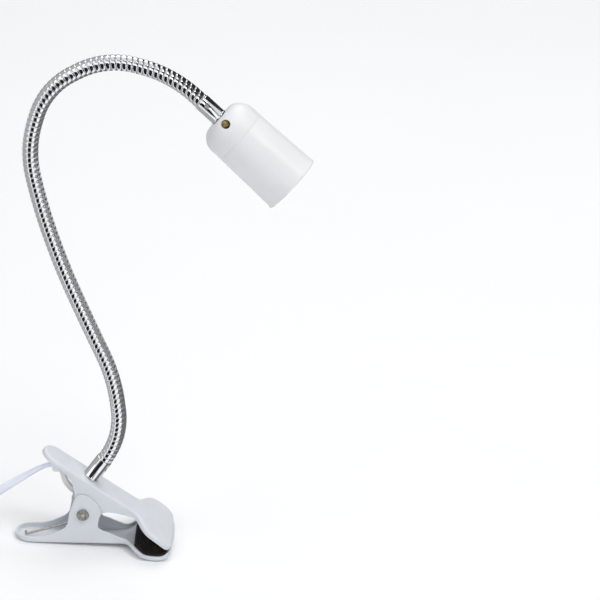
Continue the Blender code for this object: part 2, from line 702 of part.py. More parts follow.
def socket(holder):
    """The insulating core with the screw shell, the centre contact and the two terminals."""
    disc_top, disc_low, wall_low = 20.8 * MM, 27.7 * MM, 40.0 * MM
    core = turned(
        "socket_core",
        [
            (1.6 * MM, disc_top),
            (16.9 * MM, disc_top),
            (16.9 * MM, disc_low),
            (15.6 * MM, disc_low),
            (15.6 * MM, wall_low),
            (14.5 * MM, wall_low),
            (14.5 * MM, disc_low),
            (1.6 * MM, disc_low),
        ],
        CORE_CREAM,
        holder,
        steps=24,
    )
    shell = ring(SHELL_RADIUS, SHELL_RADIUS + 0.7 * MM, disc_low + GAP, 58 * MM)
    turned("screw_shell", shell, BRASS, holder, steps=24)
    for side, name in ((1, "live"), (-1, "neutral")):
        at = Matrix.Translation((0, side * 9 * MM, 0))
        through = drill(f"{name}_hole", 1.9 * MM, disc_top - 2 * MM, disc_low + 2 * MM, holder, at, steps=10)
        cut(core, through)
        screw = [
            (0, disc_top - 2.2 * MM),
            (2.8 * MM, disc_top - 2.2 * MM),
            (2.8 * MM, disc_top - GAP),
            (1.6 * MM, disc_top - GAP),
            (1.6 * MM, disc_low - 0.5 * MM),
            (0, disc_low - 0.5 * MM),
        ]
        turned(f"{name}_terminal", screw, BRASS, holder, at, steps=10)
    contact = [
        (0, disc_top + 1 * MM),
        (1.3 * MM, disc_top + 1 * MM),
        (1.3 * MM, disc_low + GAP),
        (4.2 * MM, disc_low + GAP),
        (4.2 * MM, disc_low + 1.0 * MM),
        (2.4 * MM, disc_low + 3.6 * MM),
        (0, disc_low + 4.0 * MM),
    ]
    turned("centre_contact", contact, BRASS, holder, steps=12)

    stud_end = STUD_LENGTH + HEAD_FERRULE
    lead_end = CAP_LENGTH * 0.5 + HEAD_FERRULE
    base = -HEAD_FERRULE - GAP
    turned("head_cable", rod(CABLE_RADIUS, base + 1 * MM, base + lead_end), CORD_WHITE, holder, steps=8)
    for side, name, finish in ((1, "live", WIRE_BROWN), (-1, "neutral", WIRE_BLUE)):
        start = base + max(lead_end, stud_end) + 0.9 * MM
        knots = [
            (0, side * 1.4 * MM, start),
            (0, side * 3.0 * MM, start + 3 * MM),
            (0, side * 6.5 * MM, disc_top - 4.4 * MM),
            (0, side * 9 * MM, disc_top - 3.6 * MM),
        ]
        tube(f"{name}_wire", smooth_route(knots, 2 * MM), 0.9 * MM, finish, holder, resolution=1)


def lampholder(head):
    head_fitting(head)
    holder = empty("holder", Matrix.Translation((0, 0, HEAD_FERRULE + GAP)), head)
    holder_cap(holder)
    holder_skirt(holder)
    socket(holder)


# ------------------------------------------------------------------ cord, switch and plug
CORD_CLIP = (-71.0 * MM, -2.0 * MM, 55.2 * MM)  # where the strap under the upper handle holds the cord
INNER_ROUTE = [  # the cord inside the clip, from the stud's end to the strap
    (-52.6 * MM, 0.0, 36.6 * MM),
    (-55.4 * MM, -0.6 * MM, 34.8 * MM),
    (-59.6 * MM, -1.4 * MM, 35.3 * MM),
    (-63.6 * MM, -1.9 * MM, 38.6 * MM),
    (-66.2 * MM, -2.0 * MM, 43.2 * MM),
    (-66.5 * MM, -2.0 * MM, 47.6 * MM),
    (-66.3 * MM, -2.0 * MM, 50.9 * MM),
]
LEAD_ROUTE = [  # the free cord, from the strap down to the switch
    (-69.0 * MM, -2.0 * MM, 55.1 * MM),
    (-75.0 * MM, -2.0 * MM, 54.8 * MM),
    (-82.0 * MM, -2.1 * MM, 51.7 * MM),
    (-95.0 * MM, -2.6 * MM, 43.2 * MM),
    (-108.0 * MM, -4.0 * MM, 34.0 * MM),
    (-120.5 * MM, -6.8 * MM, 24.6 * MM),
    (-132.5 * MM, -11.0 * MM, 15.9 * MM),
    (-144.0 * MM, -16.0 * MM, 9.0 * MM),
    (-155.0 * MM, -21.0 * MM, 5.0 * MM),
    (-165.5 * MM, -25.0 * MM, 3.9 * MM),
    (-174.2 * MM, -27.0 * MM, 4.9 * MM),
]
TAIL_ROUTE = [  # from the switch to the coil
    (-227.8 * MM, -27.0 * MM, 4.9 * MM),
    (-235.0 * MM, -27.3 * MM, 3.8 * MM),
    (-243.0 * MM, -28.2 * MM, 2.9 * MM),
    (-252.0 * MM, -29.6 * MM, 2.6 * MM),
]
END_ROUTE = [  # from the coil to the plug
    (-252.0 * MM, 29.0 * MM, 11.2 * MM),
    (-246.0 * MM, 27.4 * MM, 9.6 * MM),
    (-239.0 * MM, 25.0 * MM, 7.8 * MM),
    (-232.8 * MM, 24.0 * MM, 7.1 * MM),
]
SWITCH_Y = -27.0 * MM
PLUG_Y = 24.0 * MM
PLUG_X = -210.0 * MM  # back of the plug's body


def cord_strap():
    """A strap under the upper handle, with an eye for the cord."""
    x, y, z = CORD_CLIP
    half = 2.4 * MM

    def under(at):
        """Just below the upper lever's sheet at x."""
        drop = math.tan(LEVER_SLOPE) * (at - PIVOT_X)
        return PIVOT_Z + (UPPER_HEIGHT - SHEET - GAP) / math.cos(LEVER_SLOPE) - drop

    low = z - 3.7 * MM
    outline = [(x - half, low), (x + half, low), (x + half, under(x + half)), (x - half, under(x - half))]
    at = HINGE.matrix_basis.inverted() @ Matrix.Translation((0, y, 0)) @ turn("X", math.pi / 2)
    strap = slab("cord_strap", outline, 8.4 * MM, HOLDER_WHITE, HINGE, at)
    eye = HINGE.matrix_basis.inverted() @ Matrix.Translation((x, y, z)) @ turn("Y", math.pi / 2)
    cut(strap, drill("strap_eye", CORD_RADIUS + GAP, -6 * MM, 6 * MM, HINGE, eye, steps=12))


def inner_lead():
    """The cord inside the clip: down through the base ferrule, then round to the strap."""
    to_world = HINGE.matrix_basis @ Matrix.Translation((FERRULE_AT, 0, UPPER_HEIGHT))
    straight = [tuple(to_world @ Vector((0, 0, h * MM))) for h in (15.6, 8.0, 0.0, -9.0)]
    route = smooth_route([straight[-1], *INNER_ROUTE], 3.2 * MM)
    back = HINGE.matrix_basis.inverted()
    points = [tuple(back @ Vector(p)) for p in straight[:-1] + route]
    tube("inner_lead", points, 1.9 * MM, CORD_WHITE, HINGE)


def switch():
    """An inline rocker switch: two shells and a rocker between them."""
    half, side, corner = SWITCH_LENGTH / 2, SWITCH_WIDTH / 2, 5 * MM
    outline = arc((half - corner, side - corner), corner, 0, 90, 3)
    outline += arc((-half + corner, side - corner), corner, 90, 180, 3)
    outline += arc((-half + corner, -side + corner), corner, 180, 270, 3)
    outline += arc((half - corner, -side + corner), corner, 270, 360, 3)
    floor = 0.15 * MM
    low = Matrix.Translation((SWITCH_X, SWITCH_Y, (SWITCH_SPLIT + floor) / 2))
    high = Matrix.Translation((SWITCH_X, SWITCH_Y, (SWITCH_HIGH + SWITCH_SPLIT + GAP) / 2))
    bottom = slab("switch_base", outline, SWITCH_SPLIT - floor, HOLDER_WHITE, None, low, 1.0 * MM)
    cover_height = SWITCH_HIGH - SWITCH_SPLIT - GAP
    top = slab("switch_cover", outline, cover_height, HOLDER_WHITE, None, high, 1.0 * MM)
    window = [(-8.0 * MM, -4.6 * MM), (8.0 * MM, -4.6 * MM), (8.0 * MM, 4.6 * MM), (-8.0 * MM, 4.6 * MM)]
    for piece, name, centre in ((top, "window", SWITCH_HIGH), (bottom, "contact_well", SWITCH_SPLIT)):
        at = Matrix.Translation((SWITCH_X, SWITCH_Y, centre))
        cutter = slab(name, window, 8 * MM if piece is bottom else 20 * MM, STEEL, None, at)
        LAMP.objects.unlink(cutter)
        CUTTERS.objects.link(cutter)
        cut(piece, cutter)
    shape = [
        (-7.0 * MM, 2.6 * MM),
        (0, 1.9 * MM),
        (7.0 * MM, 2.6 * MM),
        (6.6 * MM, -2.4 * MM),
        (-6.6 * MM, -2.4 * MM),
    ]
    pivot = Matrix.Translation((SWITCH_X, SWITCH_Y, SWITCH_HIGH - 1.6 * MM))
    axis = empty("rocker_axis", pivot @ turn("Y", -ROCKER_SWING))
    slab("switch_rocker", shape, 8.4 * MM, HOLDER_WHITE, axis, turn("X", math.pi / 2), 0.4 * MM)


def plug():
    """A flat two-pin plug lying on its side, with a tapered boot for the cord."""
    back, side = 7.0 * MM, PLUG_WIDTH / 2
    outline = [
        (0, -back),
        (10 * MM, -side + 2 * MM),
        (16 * MM, -side),
        (PLUG_LENGTH - 2 * MM, -side + 1 * MM),
        (PLUG_LENGTH, -side + 3 * MM),
    ]
    outline += [(x, -y) for x, y in reversed(outline)]
    centre_z = PLUG_HEIGHT / 2 + 0.2 * MM
    at = Matrix.Translation((PLUG_X, PLUG_Y, centre_z))
    slab("plug_body", outline, PLUG_HEIGHT, HOLDER_WHITE, None, at, 2.0 * MM)
    boot = [(0, -GAP), (5.2 * MM, -GAP), (3.4 * MM, -BOOT_LENGTH), (0, -BOOT_LENGTH)]
    turned("plug_boot", boot, HOLDER_WHITE, None, at @ turn("Y", math.pi / 2), steps=12)
    for k, offset in enumerate((-PIN_SPACING / 2, PIN_SPACING / 2), start=1):
        start, end = PLUG_LENGTH + GAP, PLUG_LENGTH + PIN_LENGTH
        pin = [(0, end), (1.2 * MM, end), (PIN_RADIUS, end - 1 * MM), (PIN_RADIUS, start), (0, start)]
        here = at @ Matrix.Translation((0, offset, 0)) @ turn("Y", math.pi / 2)
        turned(f"plug_pin_{k}", pin, BRASS, None, here, steps=12)


def cord():
    tube("cord_lead", smooth_route(LEAD_ROUTE, 5.5 * MM), CORD_RADIUS, CORD_WHITE)
    tube("cord_tail", smooth_route(TAIL_ROUTE, 5.5 * MM), CORD_RADIUS, CORD_WHITE)
    tube("cord_end", smooth_route(END_ROUTE, 5.5 * MM), CORD_RADIUS, CORD_WHITE)
    at = Matrix.Translation((COIL_X, 0, 0))
    turned("cord_coil", ring(COIL_INNER, COIL_OUTER, COIL_LOW, COIL_HIGH), CORD_WHITE, None, at, steps=28)
    gap, band = 0.4 * MM, 0.7 * MM
    outer = [
        (COIL_INNER - gap - band, COIL_LOW - gap - band / 2),
        (COIL_OUTER + gap + band, COIL_HIGH + gap + band),
    ]
    inner = [(COIL_INNER - gap, COIL_LOW - gap), (COIL_OUTER + gap, COIL_HIGH + gap)]

    def frame(corners):
        (x0, z0), (x1, z1) = corners
        return [(x0, z0), (x1, z0), (x1, z1), (x0, z1)]

    across = at @ turn("X", math.pi / 2)
    tie = slab("coil_tie", frame(outer), 5 * MM, RUBBER, None, across)
    hollow = slab("tie_hollow", frame(inner), 9 * MM, STEEL, None, across)
    LAMP.objects.unlink(hollow)
    CUTTERS.objects.link(hollow)
    cut(tie, hollow)


clip()
clip_spring()
lampholder(gooseneck(base_fitting()))
cord_strap()
inner_lead()
switch()
plug()
cord()
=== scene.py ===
"""Visual model of the clip-on reading lamp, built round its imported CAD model.

Lengths are in millimetres unless a comment says metres; MM turns them into the frame's metres.
"""

import json
import math
from math import cos, pi, radians, sin

import bmesh
import bpy
from mathutils import Matrix, Vector


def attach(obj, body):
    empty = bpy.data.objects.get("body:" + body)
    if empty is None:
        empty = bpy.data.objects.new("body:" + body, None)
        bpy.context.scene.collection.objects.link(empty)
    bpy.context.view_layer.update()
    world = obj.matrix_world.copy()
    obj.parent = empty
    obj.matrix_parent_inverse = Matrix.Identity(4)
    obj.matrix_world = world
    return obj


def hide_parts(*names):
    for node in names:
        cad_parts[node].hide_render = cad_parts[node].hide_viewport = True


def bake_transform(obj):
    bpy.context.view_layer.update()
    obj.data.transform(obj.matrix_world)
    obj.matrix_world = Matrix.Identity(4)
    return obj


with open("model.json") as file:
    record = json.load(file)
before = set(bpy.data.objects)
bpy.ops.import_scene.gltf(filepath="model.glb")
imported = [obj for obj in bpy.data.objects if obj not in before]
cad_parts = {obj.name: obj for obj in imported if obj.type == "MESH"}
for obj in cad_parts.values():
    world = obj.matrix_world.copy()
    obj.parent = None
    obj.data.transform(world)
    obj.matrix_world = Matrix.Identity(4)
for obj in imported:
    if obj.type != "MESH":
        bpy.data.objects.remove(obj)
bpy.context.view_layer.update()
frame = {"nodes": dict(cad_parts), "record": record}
MM = 0.001
FULL_TURN = 2 * pi
CORNERS = ((-1, -1), (1, -1), (1, 1), (-1, 1))

# ---- camera, floor and light, in metres
TARGET = Vector((0.0844, 0, 0.1852))  # what the camera looks at, then the camera's own axes
RIGHT = Vector((0.997564, 0, 0.069756))
UP = Vector((-0.064447, 0.382683, 0.921629))
BACK = Vector((-0.026695, -0.923880, 0.381751))
DISTANCE, LENS, SENSOR, CLIP = 1.8, 164.4, 36, (0.05, 50)
FLOOR_HALF, FLOOR_DROP = 8, 0.0003
SECTOR_CENTRE, SECTOR_STEPS = (-0.06, 0, 0.003), 16
SECTOR_NEAR, SECTOR_FAR = 0.07, 1.1
WORLD_LOW, WORLD_HIGH, WORLD_FULL_AT, WORLD_STRENGTH = (0.5, 0.51, 0.53), (1, 1, 1), 0.75, 0.45
STUDIO_CARDS = [  # seen by reflections only: name, centre, aim, width, height, brightness
    ("strip_right", (0.42, -0.64, 0.22), (-0.05, 0, 0.2), 0.26, 0.36, 1.1),
    ("flag_front", (-0.19, -0.66, 0.12), (-0.04, 0, 0.12), 0.5, 0.7, 0.015),
    ("strip_high", (-0.25, -0.7, 0.68), (-0.03, 0, 0.3), 0.7, 0.36, 1.1),
    ("flag_right", (0.5, -0.6, 0.8), (0, 0, 0.3), 0.8, 0.72, 0.03),
    ("strip_left", (-0.66, -0.5, 0.42), (-0.03, 0, 0.2), 0.2, 1.3, 1.1),
    ("wall_right", (1, 0.1, 0.6), (0, 0, 0.2), 1.2, 1.6, 0.3),
    ("wall_left", (-1, 0.1, 0.5), (0, 0, 0.2), 1, 1.6, 0.45),
    ("ceiling", (0.04, -0.04, 1.25), (0, 0.1, 0.2), 0.94, 0.88, 0.8),
    ("flag_back", (0.62, 0.8, 0.72), (0.05, 0, 0.3), 0.9, 0.8, 0.03),
    ("flag_head", (0.143, -0.32, 0.377), (0.02, 0, 0.31), 0.17, 0.12, 0.02),
    ("flag_over", (0.62, 0.12, 0.95), (0.03, 0, 0.31), 1.7, 0.9, 0.02),
]
FLOOR_CARDS = [  # flat sectors round the clip: name, from and to in degrees from the front, brightness
    ("floor_front", -36, 10, 0.015),
    ("floor_left", -172, -52, 0.42),
    ("floor_right", 50, 176, 0.16),
]
LIGHTS = [  # name, centre, aim, side, watts, colour
    ("key", (1.1, -0.9, 2), (0, 0, 0.15), 1, 19, (1, 0.995, 0.98)),
    ("fill", (-1.8, -1.1, 1.9), (0, 0, 0.15), 1.2, 11, (0.95, 0.97, 1)),
    ("top", (0.1, 0.5, 2.3), (0, 0, 0.1), 1.8, 12, (1, 1, 1)),
    ("front", (0.5, -2, 0.9), (0, 0, 0.15), 1, 6, (1, 1, 1)),
    ("back", (0.3, 1.7, 2.1), (0.3, 1.4, 0), 1.6, 16, (1, 1, 1)),
]


def add(name, data):
    made = bpy.data.objects.new(name, data)
    bpy.context.scene.collection.objects.link(made)
    return made


def point_at(made, centre, aim):
    made.location = centre
    made.rotation_mode = "QUATERNION"
    made.rotation_quaternion = (Vector(aim) - Vector(centre)).to_track_quat("-Z", "Y")


def make_camera():
    data = bpy.data.cameras.new("camera")
    data.sensor_width = SENSOR
    data.lens = LENS
    data.clip_start, data.clip_end = CLIP
    camera = add("camera", data)
    place = Matrix((RIGHT, UP, BACK)).transposed().to_4x4()
    place.translation = TARGET + DISTANCE * BACK
    camera.matrix_world = place
    bpy.context.scene.camera = camera


def flat_stage(name, corners, finish):
    """A flat piece of the stage."""
    mesh = bpy.data.meshes.new(name)
    mesh.from_pydata(corners, [], [list(range(len(corners)))])
    mesh.materials.append(finish)
    made = add(name, mesh)
    return made


def make_card(name, corners, shade):
    """A flat glowing card that only reflections see."""
    finish = bpy.data.materials.new(name)
    finish.use_nodes = True
    sockets = finish.node_tree.nodes["Principled BSDF"].inputs
    sockets["Base Color"].default_value = (0, 0, 0, 1)
    sockets["Specular IOR Level"].default_value = 0
    sockets["Emission Color"].default_value = (1, 1, 1, 1)
    sockets["Emission Strength"].default_value = shade
    card = flat_stage(name, corners, finish)
    card.visible_camera = False
    card.visible_diffuse = False
    card.visible_transmission = False
    card.visible_shadow = False
    return card


def make_world():
    """Soft light all round, brighter from above."""
    world = bpy.data.worlds.new("studio")
    bpy.context.scene.world = world
    world.use_nodes = True
    nodes, links = world.node_tree.nodes, world.node_tree.links
    coords = nodes.new("ShaderNodeTexCoord")
    split = nodes.new("ShaderNodeSeparateXYZ")
    ramp = nodes.new("ShaderNodeValToRGB")
    low, high = ramp.color_ramp.elements
    low.position, low.color = 0, (*WORLD_LOW, 1)
    high.position, high.color = WORLD_FULL_AT, (*WORLD_HIGH, 1)
    links.new(coords.outputs["Generated"], split.inputs[0])
    links.new(split.outputs["Z"], ramp.inputs["Fac"])
    links.new(ramp.outputs["Color"], nodes["Background"].inputs["Color"])
    nodes["Background"].inputs["Strength"].default_value = WORLD_STRENGTH


def make_stage():
    floor = flat_stage("floor", [(x * FLOOR_HALF, y * FLOOR_HALF, 0) for x, y in CORNERS], FINISH["floor"])
    floor.location = (0, 0, -FLOOR_DROP)
    for name, centre, aim, width, height, shade in STUDIO_CARDS:
        corners = [(x * width / 2, y * height / 2, 0) for x, y in CORNERS]
        point_at(make_card(name, corners, shade), centre, aim)
    for name, start, end, shade in FLOOR_CARDS:
        angles = [radians(start + (end - start) * i / SECTOR_STEPS) for i in range(SECTOR_STEPS + 1)]
        edges = ((SECTOR_NEAR, angles), (SECTOR_FAR, angles[::-1]))
        corners = [(r * sin(a), -r * cos(a), 0) for r, edge in edges for a in edge]
        make_card(name, corners, shade).location = SECTOR_CENTRE
    for name, centre, aim, side, watts, colour in LIGHTS:
        data = bpy.data.lights.new(name, "AREA")
        data.shape = "RECTANGLE"
        data.size = data.size_y = side
        data.energy = watts
        data.color = colour
        point_at(add(name, data), centre, aim)
    make_world()


# ---- materials
NOISE_LOW, NOISE_HIGH = 0.35, 0.65  # the band of noise that a colour or a roughness is spread over
SHEEN, COAT, COAT_ROUGH = "Specular IOR Level", "Coat Weight", "Coat Roughness"
PALE_GREY, PALE_GREY_2 = (0.66, 0.69, 0.733), (0.695, 0.725, 0.768)
BROWN, BLUE = (0.13, 0.055, 0.025), (0.03, 0.09, 0.3)
FINISH_ROWS = [
    # slot, material, colour, roughness, metallic, other sockets,
    #   colour's noise: per metre, detail, first and second colour
    #   roughness's noise: per metre, detail, low, high, and a stretch if there is one
    #   each bump: per metre, detail, height in metres, strength, and a stretch if there is one
    ("powder_coat", "powder_coat_satin", (0.68, 0.71, 0.75), 0.4, 0, {SHEEN: 0.45},
     (60, 2, PALE_GREY, PALE_GREY_2), (900, 2, 0.34, 0.46), (1100, 2, 6e-5, 0.5), (160, 1, 3e-4, 0.15)),
    ("chrome", "chrome_plate", (0.86, 0.87, 0.89), 0.08, 1, {},
     None, (220, 4, 0.05, 0.13), (1500, 2, 2e-5, 0.25, (1, 1, 0.2))),
    ("steel", "zinc_steel", (0.5, 0.49, 0.47), 0.3, 1, {},
     (240, 3, (0.42, 0.41, 0.39), (0.58, 0.57, 0.55)), (900, 3, 0.24, 0.4, (1, 1, 4)), (2600, 2, 3e-5, 0.3)),
    ("dark_steel", "rivet_steel", (0.36, 0.345, 0.32), 0.28, 1, {},
     (500, 3, (0.28, 0.265, 0.245), (0.43, 0.415, 0.385)), (900, 3, 0.26, 0.42), (2400, 2, 3e-5, 0.35)),
    # painted highlight: this much brighter copy of the steel, on the rivet's pin ends, stands in for the
    # bright spot of light on the rivet
    ("bright_steel", "bright_steel", (0.86, 0.85, 0.83), 0.42, 1, {},
     (500, 3, (0.82, 0.81, 0.79), (0.9, 0.89, 0.87)), (900, 3, 0.36, 0.48), (2600, 2, 2e-5, 0.3)),
    ("spring_wire", "spring_wire", (0.6, 0.58, 0.54), 0.2, 1, {},
     (600, 3, (0.54, 0.52, 0.48), (0.66, 0.64, 0.6)), (1200, 3, 0.14, 0.26), (2600, 2, 2e-5, 0.3)),
    ("brass", "dull_brass", (0.5, 0.38, 0.15), 0.32, 1, {},
     (400, 3, (0.36, 0.27, 0.1), (0.55, 0.43, 0.18)), (700, 3, 0.25, 0.42), (2200, 2, 3e-5, 0.3)),
    ("holder_white", "moulded_white", (0.78, 0.787, 0.8), 0.36, 0, {SHEEN: 0.42},
     (35, 2, (0.765, 0.772, 0.788), (0.79, 0.797, 0.81)), (700, 3, 0.3, 0.42), (1700, 3, 4e-5, 0.35)),
    ("core_cream", "cream_porcelain", (0.78, 0.75, 0.66), 0.18, 0, {COAT: 0.4, COAT_ROUGH: 0.08},
     (120, 3, (0.74, 0.71, 0.62), (0.8, 0.775, 0.69)), (500, 2, 0.14, 0.26), (300, 2, 8e-5, 0.3)),
    ("rubber", "black_rubber", (0.018, 0.014, 0.012), 0.62, 0, {SHEEN: 0.35},
     (90, 3, (0.012, 0.0095, 0.008), (0.03, 0.022, 0.017)), (800, 3, 0.5, 0.78), (1900, 3, 1.2e-4, 0.5)),
    ("cord_white", "cord_sheath", (0.79, 0.81, 0.92), 0.42, 0, {SHEEN: 0.4},
     (70, 2, (0.75, 0.765, 0.885), (0.82, 0.84, 0.95)), (600, 3, 0.36, 0.52), (1300, 2, 5e-5, 0.4)),
    ("cord_ivory", "ivory_sheath", (0.72, 0.71, 0.67), 0.45, 0, {SHEEN: 0.4},
     (80, 2, (0.77, 0.765, 0.74), (0.82, 0.815, 0.79)), (600, 3, 0.38, 0.55), (1300, 2, 5e-5, 0.4)),
    ("wire_brown", "wire_brown_sheath", BROWN, 0.45, 0, {},
     (500, 2, BROWN, (0.18, 0.08, 0.04)), (900, 2, 0.38, 0.55), (1800, 2, 4e-5, 0.4)),
    ("wire_blue", "wire_blue_sheath", BLUE, 0.45, 0, {},
     (500, 2, BLUE, (0.05, 0.13, 0.38)), (900, 2, 0.38, 0.55), (1800, 2, 4e-5, 0.4)),
    ("floor", "pale_floor", (0.9, 0.905, 0.915), 1, 0, {SHEEN: 0},
     (3, 2, (0.9, 0.905, 0.915), (0.91, 0.915, 0.925)), None),
]


def make_finish(name, colour, roughness, metallic, sockets, tint, rough, *bumps):
    """A Principled material with noise in its colour, roughness and surface, in object metres."""
    material = bpy.data.materials.new(name)
    material.use_nodes = True
    nodes, links = material.node_tree.nodes, material.node_tree.links
    shader = nodes["Principled BSDF"].inputs
    values = {"Base Color": (*colour, 1), "Roughness": roughness, "Metallic": metallic, **sockets}
    for socket, value in values.items():
        shader[socket].default_value = value
    coords = nodes.new("ShaderNodeTexCoord").outputs["Object"]

    def fed(kind, source, socket, values):
        """A new node with source at the named socket and the values at others."""
        made = nodes.new("ShaderNode" + kind)
        links.new(source, made.inputs[socket])
        for key, value in values.items():
            made.inputs[key].default_value = value
        return made

    def noise(per_m, detail, stretch=(1, 1, 1)):
        mapping = fed("Mapping", coords, "Vector", {"Scale": stretch})
        made = fed("TexNoise", mapping.outputs[0], "Vector", {"Scale": per_m, "Detail": detail})
        return made.outputs["Fac"]

    if tint:
        per_m, detail, *colours = tint
        ramp = fed("ValToRGB", noise(per_m, detail), "Fac", {})
        for element, at, colour in zip(ramp.color_ramp.elements, (NOISE_LOW, NOISE_HIGH), colours):
            element.position, element.color = at, (*colour, 1)
        links.new(ramp.outputs["Color"], shader["Base Color"])
    if rough:
        per_m, detail, low, high, *stretch = rough
        band = {"From Min": NOISE_LOW, "From Max": NOISE_HIGH, "To Min": low, "To Max": high}
        spread = fed("MapRange", noise(per_m, detail, *stretch), "Value", band)
        links.new(spread.outputs["Result"], shader["Roughness"])
    normal = None
    for per_m, detail, distance, strength, *stretch in bumps:
        height = {"Distance": distance, "Strength": strength}
        bump = fed("Bump", noise(per_m, detail, *stretch), "Height", height)
        if normal is not None:
            links.new(normal, bump.inputs["Normal"])
        normal = bump.outputs["Normal"]
    if normal is not None:
        links.new(normal, shader["Normal"])
    return material


FINISH = {slot: make_finish(*row) for slot, *row in FINISH_ROWS}
WHITE = "holder_white"
bpy.context.scene.view_settings.view_transform = "Standard"
make_camera()
make_stage()


# ---- mesh helpers
MERGE = 4e-6  # metres


def smooth(mesh, sharp):
    mesh.shade_smooth()
    mesh.set_sharp_from_angle(angle=radians(sharp))


def mesh_piece(name, build, finish, sharp=40):
    """A mesh object in the frame, filled in by build(bm)."""
    mesh = bpy.data.meshes.new(name)
    bm = bmesh.new()
    build(bm)
    bm.normal_update()
    bm.to_mesh(mesh)
    bm.free()
    made = add(name, mesh)
    smooth(mesh, sharp)
    mesh.materials.append(FINISH[finish])
    return made


def bake(piece, sharp=40):
    """Apply all modifiers."""
    graph = bpy.context.evaluated_depsgraph_get()
    graph.update()
    mesh = bpy.data.meshes.new_from_object(piece.evaluated_get(graph))
    piece.modifiers.clear()
    old = piece.data
    piece.data = mesh
    bpy.data.meshes.remove(old)
    smooth(mesh, sharp)


def bevelled(piece, width, segments, angle, sharp):
    bevel = piece.modifiers.new("edges", "BEVEL")
    bevel.width = width * MM
    bevel.segments = segments
    bevel.limit_method = "ANGLE"
    bevel.angle_limit = radians(angle)
    bevel.harden_normals = False
    bake(piece, sharp)


def thickened(piece, thickness, offset, sharp=60):
    sheet = piece.modifiers.new("sheet", "SOLIDIFY")
    sheet.thickness = thickness * MM
    sheet.offset = offset
    bake(piece, sharp)


def carve(piece, cutters, sharp=40):
    """Cut other pieces' shapes out of this one, then drop them."""
    for cutter in cutters:
        boolean = piece.modifiers.new("cut", "BOOLEAN")
        boolean.operation = "DIFFERENCE"
        boolean.solver = "EXACT"
        boolean.object = cutter
    bake(piece, sharp)
    for cutter in cutters:
        bpy.data.objects.remove(cutter, do_unlink=True)


def settle(bm, merge=0):
    """Merge vertices closer than merge metres and turn every face outward."""
    if merge:
        bmesh.ops.remove_doubles(bm, verts=bm.verts, dist=merge)
    bmesh.ops.recalc_face_normals(bm, faces=bm.faces)


def grid_faces(bm, rows, wrap_columns=False, wrap_rows=False):
    """Quads between rows of vertices; triangles where vertices are shared."""
    pairs = list(zip(rows, rows[1:]))
    if wrap_rows:
        pairs.append((rows[-1], rows[0]))
    for a, b in pairs:
        count = len(a)
        for j in range(count if wrap_columns else count - 1):
            k = (j + 1) % count
            corners = list(dict.fromkeys((a[j], a[k], b[k], b[j])))
            if len(corners) >= 3:
                try:
                    bm.faces.new(corners)
                except ValueError:  # the face is there already
                    pass


def loft(name, rows, finish, sharp=40, ends=True, loop=False):
    """A skin over closed rows of points in metres. A row of one point closes to a tip; ends adds a
    face at each end, loop joins the last row to the first."""

    def build(bm):
        count = max(len(row) for row in rows)
        made = [[bm.verts.new(p) for p in row] for row in rows]
        made = [row * count if len(row) == 1 else row for row in made]
        grid_faces(bm, made, wrap_columns=True, wrap_rows=loop)
        if ends:
            bm.faces.new(made[0])
            bm.faces.new(made[-1])
        settle(bm)

    return mesh_piece(name, build, finish, sharp)


def moved(x, y, z):
    return Matrix.Translation((x * MM, y * MM, z * MM))


def turn(axis, angle):
    return Matrix.Rotation(angle, 4, axis)


def spot(at, x, y, z):
    """A point of the frame at, in metres."""
    return at @ Vector((x * MM, y * MM, z * MM))


def circle(radius, count):
    angles = [FULL_TURN * i / count for i in range(count)]
    return [(radius * cos(a), radius * sin(a)) for a in angles]


def lathe(name, profile, at, finish, steps, closed=False):
    """Turn (radius, height) points round the local Z of at; closed joins the last point to the first."""
    rows = [[spot(at, x, y, z) for x, y in (circle(r, steps) if r else [(0, 0)])] for r, z in profile]
    return loft(name, rows, finish, 35, ends=False, loop=closed)


def drill(radius, low, high, at, finish, steps=40):
    """A cutter for a round hole along the local Z of at."""
    return lathe("hole", [(0, low), (radius, low), (radius, high), (0, high)], at, finish, steps)


def stacked(name, outline, levels, finish, at):
    """Copies of an outline at heights, each drawn in: levels are (height, inset)."""
    reach_x = max(abs(x) for x, y in outline)
    reach_y = max(abs(y) for x, y in outline)
    rows = []
    for z, inset in levels:
        sx, sy = (reach_x - inset) / reach_x, (reach_y - inset) / reach_y
        rows.append([spot(at, x * sx, y * sy, z) for x, y in outline])
    return loft(name, rows, finish)


def screw_slot(half_length, half_width, low, high, at):
    """A cutter for a straight screwdriver slot."""
    corners = [(x * half_length, y * half_width) for x, y in CORNERS]
    return stacked("slot", corners, [(low, 0), (high, 0)], "brass", at)


def prism(name, outline, y0, y1, at, finish="steel"):
    """An upright outline in X and Z, drawn out across Y."""
    return loft(name, [[spot(at, x, y, z) for x, z in outline] for y in (y0, y1)], finish)


def sweep(name, points, section, finish, up, twist=None):
    """Carry a closed section, points (across, along up), along points in metres; twist(run) turns it
    by an angle at each distance along."""
    run, rows = 0, []
    for i, p in enumerate(points):
        forward = (points[min(i + 1, len(points) - 1)] - points[max(i - 1, 0)]).normalized()
        normal = Vector(up)
        normal = (normal - forward * normal.dot(forward)).normalized()
        across = forward.cross(normal)
        angle = twist(run) if twist else 0
        c, s = cos(angle), sin(angle)
        turned = [((a * c - b * s) * MM, (a * s + b * c) * MM) for a, b in section]
        rows.append([p + across * u + normal * v for u, v in turned])
        if i + 1 < len(points):
            run += (points[i + 1] - p).length
    return loft(name, rows, finish, 60)


def arc(centre, radius, start, end, count):
    steps = [radians(start + (end - start) * i / count) for i in range(count + 1)]
    return [(centre[0] + radius * cos(a), centre[1] + radius * sin(a)) for a in steps]


def ease(t):
    """A smooth step from 0 to 1."""
    t = min(1, max(0, t))
    return t * t * (3 - 2 * t)


